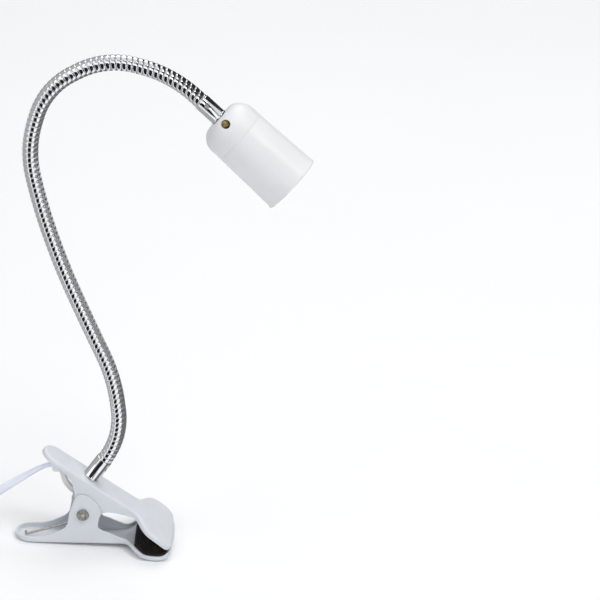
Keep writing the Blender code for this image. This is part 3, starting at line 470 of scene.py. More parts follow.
def rounded(points, radius, count):
    """Round each inner corner of an open line of (a, b) points."""
    out = [points[0]]
    for before, corner, after in zip(points, points[1:], points[2:]):
        b, c, a = Vector(before), Vector(corner), Vector(after)
        to_b, to_a = b - c, a - c
        reach = min(radius, 0.45 * to_b.length, 0.45 * to_a.length)
        start, end = c + to_b.normalized() * reach, c + to_a.normalized() * reach
        for i in range(count + 1):
            t = i / count
            out.append(tuple(start * (1 - t) ** 2 + c * 2 * t * (1 - t) + end * t * t))
    out.append(points[-1])
    return out


def catmull(knots, per_span=12):
    """A smooth curve through the knots, as vectors."""
    knots = [Vector(k) for k in knots]
    padded = [knots[0] * 2 - knots[1], *knots, knots[-1] * 2 - knots[-2]]
    fine = []
    for a, b, c, d in zip(padded, padded[1:], padded[2:], padded[3:]):
        for i in range(per_span):
            t = i / per_span
            square, cube = 2 * a - 5 * b + 4 * c - d, 3 * b - a - 3 * c + d
            fine.append(0.5 * (2 * b + (c - a) * t + square * t * t + cube * t**3))
    fine.append(knots[-1])
    return fine


def resample(points, count):
    """count + 1 points evenly along a line of vectors."""
    ends = [0]
    for a, b in zip(points, points[1:]):
        ends.append(ends[-1] + (b - a).length)
    out, k = [], 0
    for i in range(count + 1):
        want = ends[-1] * i / count
        while k < len(points) - 2 and ends[k + 1] < want:
            k += 1
        span = ends[k + 1] - ends[k]
        out.append(points[k].lerp(points[k + 1], (want - ends[k]) / span if span else 0))
    return out


def line_between(table, x):
    if x <= table[0][0]:
        return table[0][1]
    for (x0, y0), (x1, y1) in zip(table, table[1:]):
        if x <= x1:
            return y0 + (y1 - y0) * (x - x0) / (x1 - x0)
    return table[-1][1]


def finish_as(piece, slot, *nodes):
    """Hide the CAD nodes that the piece stands for; slot is not used."""
    if nodes:
        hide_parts(*nodes)


def belongs(piece, body, slot, *nodes):
    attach(piece, body)
    finish_as(piece, slot, *nodes)


# ---- bodies, and frames shared with the CAD model
CLIP_BODY, LEVER_BODY, HEAD_BODY = "clip_base", "upper_lever", "head"
PIVOT_X, PIVOT_Z = -51, 23.5
SLOPE = radians(32)
STAND = moved(PIVOT_X, 0, 0)
HINGE = moved(PIVOT_X, 0, PIVOT_Z) @ turn("Y", SLOPE)
SIDEWAYS = turn("Y", pi / 2)  # local Z along X
PIN = HINGE @ turn("X", pi / 2)
SHEET, FOLD = 1.2, 1.8
HALF, SHIFT = 11.25, 0.75
UPPER_HEIGHT = 21.6
FOOT = HINGE @ moved(-9.2, 0, UPPER_HEIGHT)
BASE_FERRULE, HEAD_FERRULE = 16.6, 15.9
GAP = 0.3

# ---- cord, coil, switch and plug
SWITCH = (-201, -27, 0)
PLUG = (-210, 24, 7)  # back of the plug's body
COIL_X = -277
COIL_TURNS, COIL_STEPS = 6.5, 48
OUTER, INNER = 33.1, 26.9
COIL_COLUMNS, COIL_LAYERS = [OUTER, INNER, INNER, OUTER, OUTER, INNER, INNER, INNER], [0, 0, 1, 1, 2, 2, 3, 3]
COIL_FLOOR, COIL_LAYER, COIL_LIFT = 1.9, 3.3, 0.9
CORD_WIDTH, CORD_THICK, CORD_WAIST = 6, 3.2, 0.8
CORD_TWIST = [(0, -22), (10, -22), (50, 62), (95, 55), (125, 0), (2000, 0)]  # distance along, degrees
SWITCH_IN, SWITCH_OUT, CORD_Y, CORD_Z = -174.2, -227.8, -27, 4.4
LEAD_ROUTE = [
    (-69, -2, 55.1), (-75, -2, 54.8), (-82, -2.1, 51.7), (-95, -2.6, 43.2),
    (-108, -4, 34), (-120.5, -6.8, 24.6), (-132.5, -11, 15.4), (-144, -16, 7.8),
    (-154.5, -20.8, 3.2), (-165, -24.8, 2.3), (SWITCH_IN, CORD_Y, CORD_Z),
]
TAIL_ROUTE = [(SWITCH_OUT, CORD_Y, CORD_Z), (-235, -27.6, 2.9), (-243, -28.8, 2), (-252, -30.4, 1.9)]
END_ROUTE = [(-252, 30.4, 11.6), (-246, 28.4, 9.9), (-239.5, 25.6, 8), (-232.5, 24, 7.2)]


def coil_points():
    """Clockwise turns, two side by side and four deep, lifted a little where the tie passes under."""
    points = []
    for i in range(int(COIL_TURNS * COIL_STEPS) + 1):
        t = i / COIL_STEPS
        k = int(t)
        share = ease((t - k - 0.72) / 0.28)
        last = min(k + 1, len(COIL_COLUMNS) - 1)
        radius = COIL_COLUMNS[k] + (COIL_COLUMNS[last] - COIL_COLUMNS[k]) * share
        height = COIL_LAYERS[k] + (COIL_LAYERS[last] - COIL_LAYERS[k]) * share
        if t > 6:
            radius = INNER + (OUTER - INNER) * ease((t - 6) / 0.45)
        angle = radians(-90 - 360 * t)
        lift = COIL_LIFT * max(0, cos(angle)) ** 6
        z = COIL_FLOOR + lift + COIL_LAYER * height
        points.append(Vector((COIL_X + radius * cos(angle), radius * sin(angle), z)))
    return points


def cord_route():
    """The cord's centre line in metres."""
    lead = resample(catmull(LEAD_ROUTE), 64)
    through = [Vector((SWITCH_IN + (SWITCH_OUT - SWITCH_IN) * i / 10, CORD_Y, CORD_Z)) for i in range(1, 10)]
    coil = coil_points()
    tail = resample(catmull([*TAIL_ROUTE, coil[0], coil[3]])[:-12], 22)
    end = resample(catmull([coil[-4], coil[-1], *END_ROUTE])[12:], 22)
    whole = lead + through + tail + coil[1:] + end[1:]
    spaced = [whole[0]]
    for p in whole[1:]:
        if (p - spaced[-1]).length > 0.4:
            spaced.append(p)
    return [p * MM for p in spaced]


def flat_section():
    """The flat two-core cord, a little waisted."""
    r, c = CORD_THICK / 2, (CORD_WIDTH - CORD_THICK) / 2
    waist = CORD_WAIST * r
    return arc((c, 0), r, -104, 104, 8) + [(0, waist)] + arc((-c, 0), r, 76, 284, 8) + [(0, -waist)]


def cord_twist(run):
    return radians(line_between(CORD_TWIST, run / MM))


def smooth_outline(x, y, power, count):
    """A rounded rectangle as a superellipse."""
    out = []
    for c, s in circle(1, count):
        out.append((x * math.copysign(abs(c) ** (2 / power), c), y * math.copysign(abs(s) ** (2 / power), s)))
    return out


def make_switch():
    at = moved(*SWITCH)
    plan = smooth_outline(26, 11, 5, 96)
    window = smooth_outline(8, 4.6, 8, 48)
    lower = [(0.15, 1.6), (0.35, 0.9), (1, 0.3), (2, 0), (6.7, 0), (7.2, 0.35)]
    upper = [(7.5, 0.35), (7.9, 0), (10.2, 0.15), (11.8, 0.8), (12.9, 1.9), (13.3, 3.2), (13.4, 5)]
    base = stacked("switch_lower_shell", plan, lower, WHITE, at)
    cover = stacked("switch_upper_shell", plan, upper, WHITE, at)
    carve(cover, [stacked("window", window, [(3, 0), (20, 0)], "steel", at)])
    carve(base, [stacked("well", window, [(3.2, 0), (20, 0)], "steel", at)])
    belongs(base, CLIP_BODY, WHITE, "switch_base")
    belongs(cover, CLIP_BODY, WHITE, "switch_cover")

    axis = moved(SWITCH[0], SWITCH[1], 11.8) @ turn("Y", -radians(7))
    half, reach = 4.2, 7
    top = [-reach + 2 * reach * i / 16 for i in range(17)]
    line = [(x, 1.9 + 0.7 * (x / reach) ** 2) for x in top]
    line += [(6.8, 0), (6.5, -2.4), (-6.5, -2.4), (-6.8, 0)]
    side = [(half, 0.35), (half - 0.3, 0.08), (half - 0.6, 0)]  # across, how far it is drawn in
    across = [(-y, inset) for y, inset in side] + side[::-1]
    rows = [[spot(axis, x * (1 - 0.04 * inset), y, z - inset) for x, z in line] for y, inset in across]
    belongs(loft("switch_rocker_cap", rows, WHITE, 50), "switch_rocker", WHITE, "switch_rocker")
    return [base, cover]


def make_plug():
    """A flat two-pin plug: shell, ribbed cord relief, two part-sleeved pins."""
    at = moved(*PLUG)
    half_w, half_h, pin_offset = 16, 6.8, 9.3
    stations = [  # along, share of the width, share of the height
        (0, 0.40, 0.78), (0.6, 0.44, 0.84), (3, 0.52, 0.9), (7, 0.7, 0.95), (11, 0.88, 0.98),
        (15, 0.975, 1), (19, 1, 1), (27, 0.985, 1), (31.6, 0.95, 0.985), (32.7, 0.915, 0.94),
        (33, 0.87, 0.86),
    ]
    plans = [(x, smooth_outline(half_w * w, half_h * h, 4.2, 40)) for x, w, h in stations]
    body = loft("plug_shell", [[spot(at, x, a, b) for a, b in plan] for x, plan in plans], WHITE, 50)
    belongs(body, CLIP_BODY, WHITE, "plug_body")

    rib = [(0, 0), (-0.15, -0.35), (-0.8, -0.5), (-0.85, -1.3), (-0.2, -1.5), (-0.1, -1.8)]
    line = [(0, -0.3), (5.2, -0.3)]
    for k in range(5):
        line += [(5.1 - 0.36 * k + r, -2.4 - 3.9 * k + z) for r, z in rib]
    line += [(3.55, -21.6), (3.3, -22), (0, -22)]
    boot = lathe("plug_relief", line, at @ SIDEWAYS, WHITE, 32)
    belongs(boot, CLIP_BODY, WHITE, "plug_boot")

    bare = [(0, 52), (0.9, 51.9), (1.6, 51.3), (1.98, 50.2), (2, 49), (2, 43.4), (1.9, 43.3)]
    bare += [(1.9, 33.3), (0, 33.3)]
    covered = [(1.93, 43.2), (2.03, 43.1), (2.05, 33.4), (1.93, 33.4)]
    extra = []
    for k, offset in ((1, -pin_offset), (2, pin_offset)):
        here = at @ moved(0, offset, 0) @ SIDEWAYS
        pin = lathe(f"plug_contact_{k}", bare, here, "brass", 28)
        belongs(pin, CLIP_BODY, "brass", f"plug_pin_{k}")
        sleeve = lathe(f"plug_sleeve_{k}", covered, here, "rubber", 28, closed=True)
        belongs(sleeve, CLIP_BODY, "rubber")
        extra += [pin, sleeve]
    return [body, boot, *extra]


def make_tie():
    """A rubber band round the coil's section."""
    low, high, near, far, middle = 0.35, 15.2, 22.7, 37.4, 7.5
    corners = [(near, middle), (near, low), (far, low), (far, high), (near, high), (near, middle)]
    points = [spot(moved(COIL_X, 0, 0), x, 0, z) for x, z in rounded(corners, 3, 5)[:-1]]
    half, thick, crown = 2.3, 0.55, 0.65
    section = [(-half, 0), (-half, thick), (0.3 - half, crown), (half - 0.3, crown), (half, thick), (half, 0)]
    rows = []
    for i, p in enumerate(points):
        ahead = (points[(i + 1) % len(points)] - points[i - 1]).normalized()
        outward = Vector((-ahead.z, 0, ahead.x))
        rows.append([p + Vector((0, y * MM, 0)) + outward * (t * MM) for y, t in section])
    band = loft("coil_band", rows, "rubber", 50, ends=False, loop=True)
    belongs(band, CLIP_BODY, "rubber", "coil_tie")
    return band


CORD_POINTS = cord_route()
cord = sweep("cord", CORD_POINTS, flat_section(), "cord_white", (0, 0, 1), cord_twist)
cord_company = [*make_switch(), *make_plug(), make_tie()]
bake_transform(cord)
finish_as(cord, "cord_white", "cord_lead", "cord_tail", "cord_end", "cord_coil")


# ---- gooseneck, lengths along it in metres
SEGMENT, NECK_TAIL = 42.3 * MM, 4.4 * MM
BENT = SEGMENT - NECK_TAIL
NECK_TURNS = (-41.2, -17.4, 1.2, 4.5, 5.9, 29, 45.2, 41.6, 27)  # degrees bent in each segment
NECK_LEANS = (0, 0, 0, 0, 0, 0, 0, 4, 5)  # and out of the neck's plane
NECK_BODIES = [LEVER_BODY, *(f"neck_{k}" for k in range(2, 9)), HEAD_BODY]
AROUND, NECK_BORE, NECK_TUCK = 32, 3.4, 1.2 * MM
LINING_STEPS, BLEND_MARGIN = 12, 0.12 * SEGMENT
RING_PITCH = 3.5 * MM
RING_PROFILE = [  # share of the pitch, radius
    (0, 4.66), (0.035, 4.88), (0.085, 5.06), (0.17, 5.16), (0.32, 5.2),
    (0.5, 5.21), (0.68, 5.2), (0.83, 5.16), (0.915, 5.06), (0.965, 4.88),
]
RING_TABLE = [*RING_PROFILE, (1, RING_PROFILE[0][1])]


def local_place(roll, total, s):
    """The neck's frame at s along a segment, in the segment's own frame."""
    a = total * s / BENT if s < BENT else total
    at = Vector(((1 - cos(a)) / total * BENT, 0, sin(a) / total * BENT))
    if s >= BENT:
        at += Vector((sin(a), 0, cos(a))) * (s - BENT)
    return turn("Z", roll) @ Matrix.Translation(at) @ turn("Y", a) @ turn("Z", -roll)


FRAMES, BENDS = [FOOT @ moved(0, 0, BASE_FERRULE + GAP)], []
for turned, lean in zip(NECK_TURNS, NECK_LEANS):
    BENDS.append((math.atan2(-lean, turned), radians(math.hypot(turned, lean))))
    FRAMES.append(FRAMES[-1] @ local_place(*BENDS[-1], SEGMENT))


def neck_place(s):
    """The neck's frame at s along the whole neck."""
    k = min(len(BENDS) - 1, max(0, int(s / SEGMENT)))
    rest = s - k * SEGMENT
    if rest < 0:
        return FRAMES[0] @ Matrix.Translation((0, 0, rest))
    return FRAMES[k] @ local_place(*BENDS[k], rest)


def neck_sleeve(name, s0, s1):
    """A wound strip with one rounded ridge to each turn, from s0 to s1 along the neck."""
    turns = range(math.floor(s0 / RING_PITCH) - 1, math.ceil(s1 / RING_PITCH) + 2)
    around = circle(1, AROUND)

    def build(bm):
        rows, shared = [], {}
        for k, u, r in ((k, u, r) for k in turns for u, r in RING_PROFILE):
            row = []
            for j in range(AROUND + 1):
                s = RING_PITCH * (k + u + j / AROUND)
                held = min(s1, max(s0, s))
                column = j % AROUND
                key = (round(held * 1e7), column)
                if key not in shared:
                    share = (held / RING_PITCH - column / AROUND) % 1
                    radius = r if held == s else line_between(RING_TABLE, share)
                    x, y = around[column]
                    shared[key] = bm.verts.new(spot(neck_place(held), radius * x, radius * y, 0))
                row.append(shared[key])
            rows.append(row)
        grid_faces(bm, rows)
        lining = []
        for i in range(LINING_STEPS + 1):
            place = neck_place(s0 + (s1 - s0) * i / LINING_STEPS)
            lining.append([bm.verts.new(spot(place, x * NECK_BORE, y * NECK_BORE, 0)) for x, y in around])
        grid_faces(bm, [rows[0][:-1], *lining, rows[-1][:-1]], wrap_columns=True)
        settle(bm, MERGE)
        bmesh.ops.delete(bm, geom=[v for v in bm.verts if not v.link_faces], context="VERTS")

    return mesh_piece(name, build, "chrome", 55)


def make_neck():
    """One sleeve from the middle of each segment to the middle of the next."""
    count = len(BENDS)
    middles = [(k + 0.5) * SEGMENT for k in range(count)]
    cuts = [-NECK_TUCK, *middles, count * SEGMENT + NECK_TUCK]
    for k, (s0, s1) in enumerate(zip(cuts, cuts[1:])):
        sleeve = neck_sleeve(f"neck_winding_{k}", s0, s1)
        if k in (0, count):
            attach(sleeve, NECK_BODIES[0 if k == 0 else -1])
        else:
            near = neck_place(s0 + BLEND_MARGIN).translation
            far = neck_place(s1 - BLEND_MARGIN).translation
            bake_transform(sleeve)
        finish_as(sleeve, "chrome", *([f"neck_link_{k + 1}"] if k < count else []))


make_neck()


# ---- chromed fittings
HEAD = FRAMES[-1]
HOLDER = HEAD @ moved(0, 0, HEAD_FERRULE + GAP)
GRUB_AT = 5
LOCK_ANGLE = radians(-108)
LOCK_AT, LOCK_FACE = 4.6, 13.8


def chrome_fitting(name, at, length, collar_high, angle, body, node):
    """A polished tube with eased ends, a fine collar where it meets its neighbour, and a grub screw."""
    r, bore = 5.6, 4.4
    screw_height = GRUB_AT if collar_high else length - GRUB_AT
    line = [(bore, 0.3), (5.75, 0.3), (5.86, 0.42), (5.86, 1), (5.72, 1.2), (r, 1.35)]
    line += [(r, length - 0.55), (r - 0.12, length - 0.2), (r - 0.4, length), (bore, length)]
    if collar_high:
        line = [(a, length + 0.3 - b) for a, b in reversed(line)]
    tube = lathe(name, line, at, "chrome", 64, closed=True)
    radial = at @ moved(0, 0, screw_height) @ turn("Z", angle) @ SIDEWAYS
    seat = [(0, 3), (1.5, 3), (1.5, 5.15), (2, 6), (0, 6)]
    carve(tube, [lathe("hole", seat, radial, "chrome", 32)])
    belongs(tube, body, "chrome", node)

    face = radial @ moved(0, 0, 5.05)
    screw = lathe(name + "_grub", [(0, -2), (1.42, -2), (1.42, -0.25), (1.2, 0), (0, 0)], face, "steel", 28)
    carve(screw, [stacked("socket", circle(0.72, 6), [(-0.9, 0), (1, 0)], "steel", face)])
    belongs(screw, body, "steel", node + "_screw")


def make_stud():
    """A threaded stud with a bore for the cord."""
    low, high = -9.5, -0.2
    line = [(2.9, high), (2.9, low), (4.3, low)]
    z = low + 0.3
    while z + 1 < high:
        line += [(4.88, z + 0.3), (4.88, z + 0.45), (4.5, z + 0.75), (4.5, z + 0.9)]
        z += 1
    line.append((4.8, high))
    belongs(lathe("lower_stud", line, FOOT, "chrome", 40, closed=True), LEVER_BODY, "chrome")


chrome_fitting("lower_fitting", FOOT, BASE_FERRULE, False, radians(-30), LEVER_BODY, "base_ferrule")
chrome_fitting("upper_fitting", HEAD, HEAD_FERRULE, True, LOCK_ANGLE, HEAD_BODY, "head_ferrule")
make_stud()


# ---- lampholder
CAP_TOP, CAP_RADIUS, CAP_ROUND, CAP_LENGTH, CAP_WALL = 11.4, 19, 12, 17.8, 2
HOLDER_LENGTH, RIM_RADIUS = 63.2, 20.8
TERMINAL_Y = 9


def make_cap():
    """The domed cap with its radial brass lock screw."""
    r, length = CAP_RADIUS, CAP_LENGTH
    first = math.degrees(math.asin(1 - (r - CAP_TOP) / CAP_ROUND))
    centre = (r - CAP_ROUND, -CAP_ROUND * cos(radians(first)))
    dome = [(a, -z) for a, z in arc(centre, CAP_ROUND, 90 - first, 0, 22)]
    inner = [(a, -z) for a, z in arc(centre, CAP_ROUND - CAP_WALL, 0, 78 - first, 12)]
    line = [(5.3, 0.25), (5.55, 0), (dome[0][0] - 0.35, 0), (dome[0][0] - 0.12, 0.02)]
    line += dome[1:]
    line += [(r, length - 0.2), (r - 0.03, length - 0.05), (r - 0.1, length)]
    line += [(16.9, length), (16.9, length + 2.5), (15.7, length + 2.5), (15.7, length - 1.5)]
    line += [(r - CAP_WALL, length - 3), *inner, (9, CAP_WALL), (9, 10), (5.3, 10)]
    cap = lathe("holder_dome", line, HOLDER, WHITE, 96, closed=True)
    radial = HOLDER @ moved(0, 0, LOCK_AT) @ turn("Z", LOCK_ANGLE) @ SIDEWAYS
    carve(cap, [drill(2.85, 4, 25, radial, WHITE)], 30)
    belongs(cap, HEAD_BODY, WHITE, "holder_cap")

    face = LOCK_FACE
    line = [(0, 6.4), (1.9, 6.4), (2.5, 7)]
    line += [(2.5, face - 0.6), (2.35, face - 0.25), (1.9, face - 0.05), (0, face)]
    screw = lathe("holder_lock_screw", line, radial, "brass", 36)
    carve(screw, [screw_slot(3, 0.4, face - 0.9, 17, radial @ turn("Z", 0.5))])
    belongs(screw, HEAD_BODY, "brass", "cap_lock_screw")


def make_skirt():
    """The slightly flared shell, open at the lamp's end, with a shelf for the core."""
    r, top, end, rim = CAP_RADIUS, CAP_LENGTH + 0.05, HOLDER_LENGTH, RIM_RADIUS
    line = [(17.2, top), (r - 0.1, top), (r - 0.02, top + 0.06), (r, top + 0.3)]
    flare, start, run = rim - 0.67 - r, top + 0.4, end - 2.4 - top - 0.4
    line += [(r + flare * i / 12, start + run * i / 12) for i in range(1, 13)]
    line += [(rim - 0.35, end - 1.5), (rim - 0.22, end - 0.75), (rim - 0.4, end - 0.2)]
    line += [(rim - 0.8, end - 0.02), (rim - 1.4, end - 0.08), (rim - 1.9, end - 0.5)]
    line += [(18.3, 45), (17.7, 30.6), (17.5, 30.3), (16, 30.2), (16, 28.3), (17.2, 28.1)]
    belongs(lathe("holder_shell", line, HOLDER, WHITE, 96, closed=True), HEAD_BODY, WHITE, "holder_skirt")


def make_screw_shell():
    """The rolled brass thread a lamp screws into."""
    low, high, pitch, around, per_turn = 28.2, 57.8, 3.62, 64, 10
    groove, crest, flare_from, flare = 13.12, 0.62, 56.6, 0.75

    def build(bm):
        rows = []
        for i in range(int((high - low) / pitch * per_turn) + per_turn + 1):
            row = []
            for j in range(around + 1):
                z = min(high, max(low, low + (i / per_turn - 1 + j / around) * pitch))
                wave = 0.5 + 0.5 * cos(FULL_TURN * ((z - low) / pitch - j / around))
                share = max(0, (z - flare_from) / (high - flare_from))
                r = groove + crest * wave * (1 - share) + flare * share
                a = FULL_TURN * j / around
                row.append(bm.verts.new(spot(HOLDER, r * cos(a), r * sin(a), z)))
            rows.append(row)
        grid_faces(bm, rows)
        settle(bm, 5 * MERGE)

    shell = mesh_piece("threaded_shell", build, "brass", 60)
    thickened(shell, 0.25, 0)
    belongs(shell, HEAD_BODY, "brass", "screw_shell")


def make_socket():
    """Porcelain core, threaded shell, centre tongue and the two wire terminals."""
    line = [(1.7, 20.8), (16.6, 20.8), (16.9, 21.1), (16.9, 27.4), (16.6, 27.7), (15.6, 27.8), (15.6, 39.6)]
    line += [(15.3, 40), (14.8, 40), (14.5, 39.7), (14.5, 28.2), (13.9, 27.7), (1.7, 27.7)]
    core = lathe("porcelain_core", line, HOLDER, "core_cream", 72, closed=True)
    sides = {"live": HOLDER @ moved(0, TERMINAL_Y, 0), "neutral": HOLDER @ moved(0, -TERMINAL_Y, 0)}
    carve(core, [drill(1.9, 18, 30, at, "core_cream", 24) for at in sides.values()])
    belongs(core, HEAD_BODY, "core_cream", "socket_core")
    make_screw_shell()

    line = [(0, 21.8), (1.3, 21.8), (1.3, 28), (4, 28), (4.2, 28.2), (4.2, 28.7), (3.6, 29.4)]
    line += [(2.6, 31), (1.8, 31.55), (0, 31.7)]
    belongs(lathe("centre_tongue", line, HOLDER, "brass", 36), HEAD_BODY, "brass", "centre_contact")
    line = [(0, 18.6), (2.4, 18.6), (2.8, 18.9), (2.8, 20.5)]
    line += [(1.6, 20.5), (1.6, 26.9), (1.2, 27.2), (0, 27.2)]
    for name, at in sides.items():
        screw = lathe(name + "_screw_post", line, at, "brass", 28)
        carve(screw, [screw_slot(3.2, 0.35, 17, 19.4, at)])
        belongs(screw, HEAD_BODY, "brass", name + "_terminal")


make_cap()
make_skirt()
make_socket()


# ---- the clip's two pressed levers
JAW_START, JAW_TIP, JAW_HALF = 25, 61, 27.5
JAW_OUTLINE = [
    (25, 11.25), (28.6, 11.7), (31.2, 13.8), (33.6, 18), (36.5, 22.9), (40.5, 26.3), (45, 27.4),
    (49, 27.5), (53, 27.3), (57.2, 25.7), (59.4, 22.6), (60, 18.6), (60.5, 13.2), (60.85, 7), (61, 0),
]
PAD_PLAN = [(28, 11.25), (34.5, 20), (40, 26.4), (45, 27.5), (54, 27.5), (59, 25.4), (61.9, 19.5)]
LOWER_LINE = [
    (-45.6, 1.6), (-43, 0.3), (-40, 0), (-32, 0), (31.6, 3.1), (36, 2.7), (43, 0.5),
    (47.5, 0), (54.5, 0), (58.4, 1.3), (61.6, 3.9),
]
LOWER_CURVE = rounded(LOWER_LINE, 2.4, 5)
# A wall: spans of (start and end on the web, edge line), the jaw's lip as (x, depth), the tail's edge height.
UPPER_EAR = [(-21, 15.6), (-18.3, 14.2), (-15.5, 11.4), (-12.9, 8.7), (-10.9, 5.6)]
UPPER_EAR += arc((0, 0), 9.5, 172, 360, 26)
UPPER_EAR += [(9.6, 3), (10.2, 7), (11.2, 9.2), (13, 10.9), (18, 13.4)]
UPPER_SPANS = [
    (-35.25, -22, [(-35.25, 18.2), (-30.5, 18.2), (-27.5, 17.9), (-24, 16.9), (-21, 15.6)]),
    (-22, 16, UPPER_EAR),
    (16, 29.5, [(18, 13.4), (24, 15.8), (29.5, 17.7)]),
]
UPPER_WALL = (UPPER_SPANS, [(29.5, 3.9), (33, 3.4), (56.5, 3.4), (61, 1.36)], 18.2)
LOWER_EAR = [
    (-16.4, 9.6), (-12.4, 11.9), (-10.5, 14.6), (-9.9, 18.4), (-9.3, 22.6), (-7.6, 30), (-6.5, 34.2),
    (-4.6, 37.2), (-1.4, 38.5), (3, 37.4), (7.2, 34.4), (9.4, 31.8), (11.2, 28.6), (12.2, 23), (12.9, 17.6),
    (14.4, 13.6), (17, 11.4),
]
LOWER_SPANS = [
    (-34, -14, [(-34, 4.3), (-27, 5), (-21.5, 6.9), (-16.4, 9.6)]),
    (-14, 17, LOWER_EAR),
    (17, 29, [(17, 11.4), (20.3, 10.2), (27, 7.7), (30, 7.3)]),
]
LOWER_WALL = (LOWER_SPANS, [(29, 4.3), (34, 3.6), (39, 3.4), (58.4, 3.4), (61.6, 1.87)], 4.2)
NOTCH = [
    (12.9, 28), (11.6, 24.4), (10.6, 20), (10.3, 16.6), (10.9, 14.2), (13.2, 12.6), (20.3, 10.5),
    (24, 12), (24, 28),
]


def lever_plan(tail, tip):
    """Half of a lever's outline from the handle's end to the jaw's tip, with outward normals."""
    centre = tail + HALF
    around = [(centre - x, y) for x, y in arc((0, 0), HALF, 0, 90, 14)]
    straight = [(centre + (24 - centre) * i / 46, HALF) for i in range(1, 47)]
    stretch = (tip - JAW_START) / (JAW_TIP - JAW_START)
    jaw = [Vector((JAW_START + (x - JAW_START) * stretch, y, 0)) for x, y in JAW_OUTLINE]
    jaw = [(p.x, min(JAW_HALF, p.y)) for p in catmull(jaw, 4)]
    jaw[-1] = (tip, 0)
    points = [Vector(p) for p in around + straight + jaw]
    out = []
    for i, p in enumerate(points):
        ahead = points[min(i + 1, len(points) - 1)] - points[max(i - 1, 0)]
        out.append((p, Vector((-ahead.y, ahead.x)).normalized()))
    out[0] = (points[0], Vector((-1, 0)))
    out[-1] = (points[-1], Vector((1, 0)))
    return out


def along(line, share):
    """The point at a share of a line's length."""
    lengths = [math.dist(a, b) for a, b in zip(line, line[1:])]
    want = share * sum(lengths)
    for (a, b), span in zip(zip(line, line[1:]), lengths):
        if want <= span:
            t = want / span
            return (a[0] + (b[0] - a[0]) * t, a[1] + (b[1] - a[1]) * t)
        want -= span
    return line[-1]


def upper_web(x):
    share = max(0, (x - 44) / 17)
    return UPPER_HEIGHT - 2.2 * share * share


def lower_web(x):
    return max(0, line_between(LOWER_CURVE, x))


def wall_edge(x, web, up, spans, lip, tail_height):
    """The wall's edge point for web position x: a lip at the jaw, a straight tail, spans between."""
    if x > spans[-1][1]:
        return (x, web(x) - up * line_between(lip, x))
    if x < spans[0][0]:
        return (x, tail_height)
    start, end, line = next(span for span in spans if x <= span[1])
    return along(line, max(0, (x - start) / (end - start)))


def tray(name, plan, web, wall, shift, at, up):
    """A pressed channel: wall edge, wall, fold, web and the same mirrored. up is the web's side."""
    folds = [radians(90 * i / 6) for i in range(7)]

    def half_row(p, normal):
        xe, ze = wall_edge(p.x, web, up, *wall)
        root = web(p.x) - up * FOLD
        row = [(xe + (p.x - xe) * t, p.y, ze + (root - ze) * t) for t in (0, 0.18, 0.42, 0.7)]
        for a in folds:
            inset = FOLD * (1 - cos(a))
            x, y = p.x - normal.x * inset, p.y - normal.y * inset
            row.append((x, max(0, y), web(x) - up * FOLD * (1 - sin(a))))
        x, y, z = row[-1]
        return row + [(x, y * t, z) for t in (0.75, 0.5, 0.25)]

    def build(bm):
        rows = []
        for p, normal in plan:
            half = half_row(p, normal)
            full = half + [(half[-1][0], 0, half[-1][2])] + [(x, -y, z) for x, y, z in reversed(half)]
            rows.append([bm.verts.new(spot(at, x, y + shift, z)) for x, y, z in full])
        grid_faces(bm, rows)
        bmesh.ops.remove_doubles(bm, verts=bm.verts, dist=MERGE)
        bmesh.ops.dissolve_degenerate(bm, edges=bm.edges, dist=MERGE / 2)
        bmesh.ops.recalc_face_normals(bm, faces=bm.faces)
        facing = sum((f.normal * f.calc_area() for f in bm.faces), Vector())
        if (at.to_3x3() @ Vector((0, 0, up))).dot(facing) < 0:
            bmesh.ops.reverse_faces(bm, faces=bm.faces)

    piece = mesh_piece(name, build, "powder_coat", 60)
    thickened(piece, SHEET, -1)
    return piece


def make_levers():
    upper = tray("upper_pressing", lever_plan(-46.5, 61), upper_web, UPPER_WALL, SHIFT, HINGE, 1)
    lower = tray("lower_pressing", lever_plan(-45.6, 61.6), lower_web, LOWER_WALL, -SHIFT, STAND, -1)
    stud_hole = drill(5.2, -5, 5, FOOT, "steel")
    notch = prism("notch", NOTCH, -15, 15, STAND)
    for lever, cutter, body, node in (
        (upper, stud_hole, LEVER_BODY, "upper_lever"),
        (lower, notch, CLIP_BODY, "lower_lever"),
    ):
        carve(lever, [drill(2.8, -20, 20, PIN, "steel"), cutter], 60)
        bevelled(lever, 0.22, 2, 60, 50)
        belongs(lever, body, "powder_coat", node)


def ribbed_pad(name, line, halves, shift, at, rib_side, body, node):
    """A rubber pad along a line of (x, z) points; its gripping face is ridged across."""
    thick, rib_height, steps, per_rib = 2.2, 0.42, 96, 6
    fine = resample([Vector((x, 0, z)) for x, z in line], steps)
    width = [(x, half) for (x, z), half in zip(line, halves)]
    rows = []
    for i, p in enumerate(fine):
        ahead = (fine[min(i + 1, steps)] - fine[max(i - 1, 0)]).normalized()
        normal = Vector((-ahead.z, 0, ahead.x)) * rib_side
        half = line_between(width, p.x)
        round_off = 0.35 * max(0, 1 - min(i, steps - i) / 3) ** 2
        rib = rib_height * (0.5 - 0.5 * cos(FULL_TURN * i / per_rib))
        grip = p + normal * (thick - rib_height + rib - round_off)
        low, high = p.lerp(grip, 0.25), p.lerp(grip, 0.75)
        side = [(p, 0.5), (p, 0.1), (low, 0), (high, 0), (grip, 0.25), (grip, 0.9)]
        row = [(q.x, half - inset, q.z) for q, inset in side]
        row += [(grip.x, half * t, grip.z) for t in (0.6, 0.2, -0.2, -0.6)]
        row += [(x, -y, z) for x, y, z in row[5::-1]]
        rows.append([spot(at, x, y + shift, z) for x, y, z in row])
    belongs(loft(name, rows, "rubber", 50), body, "rubber", node)


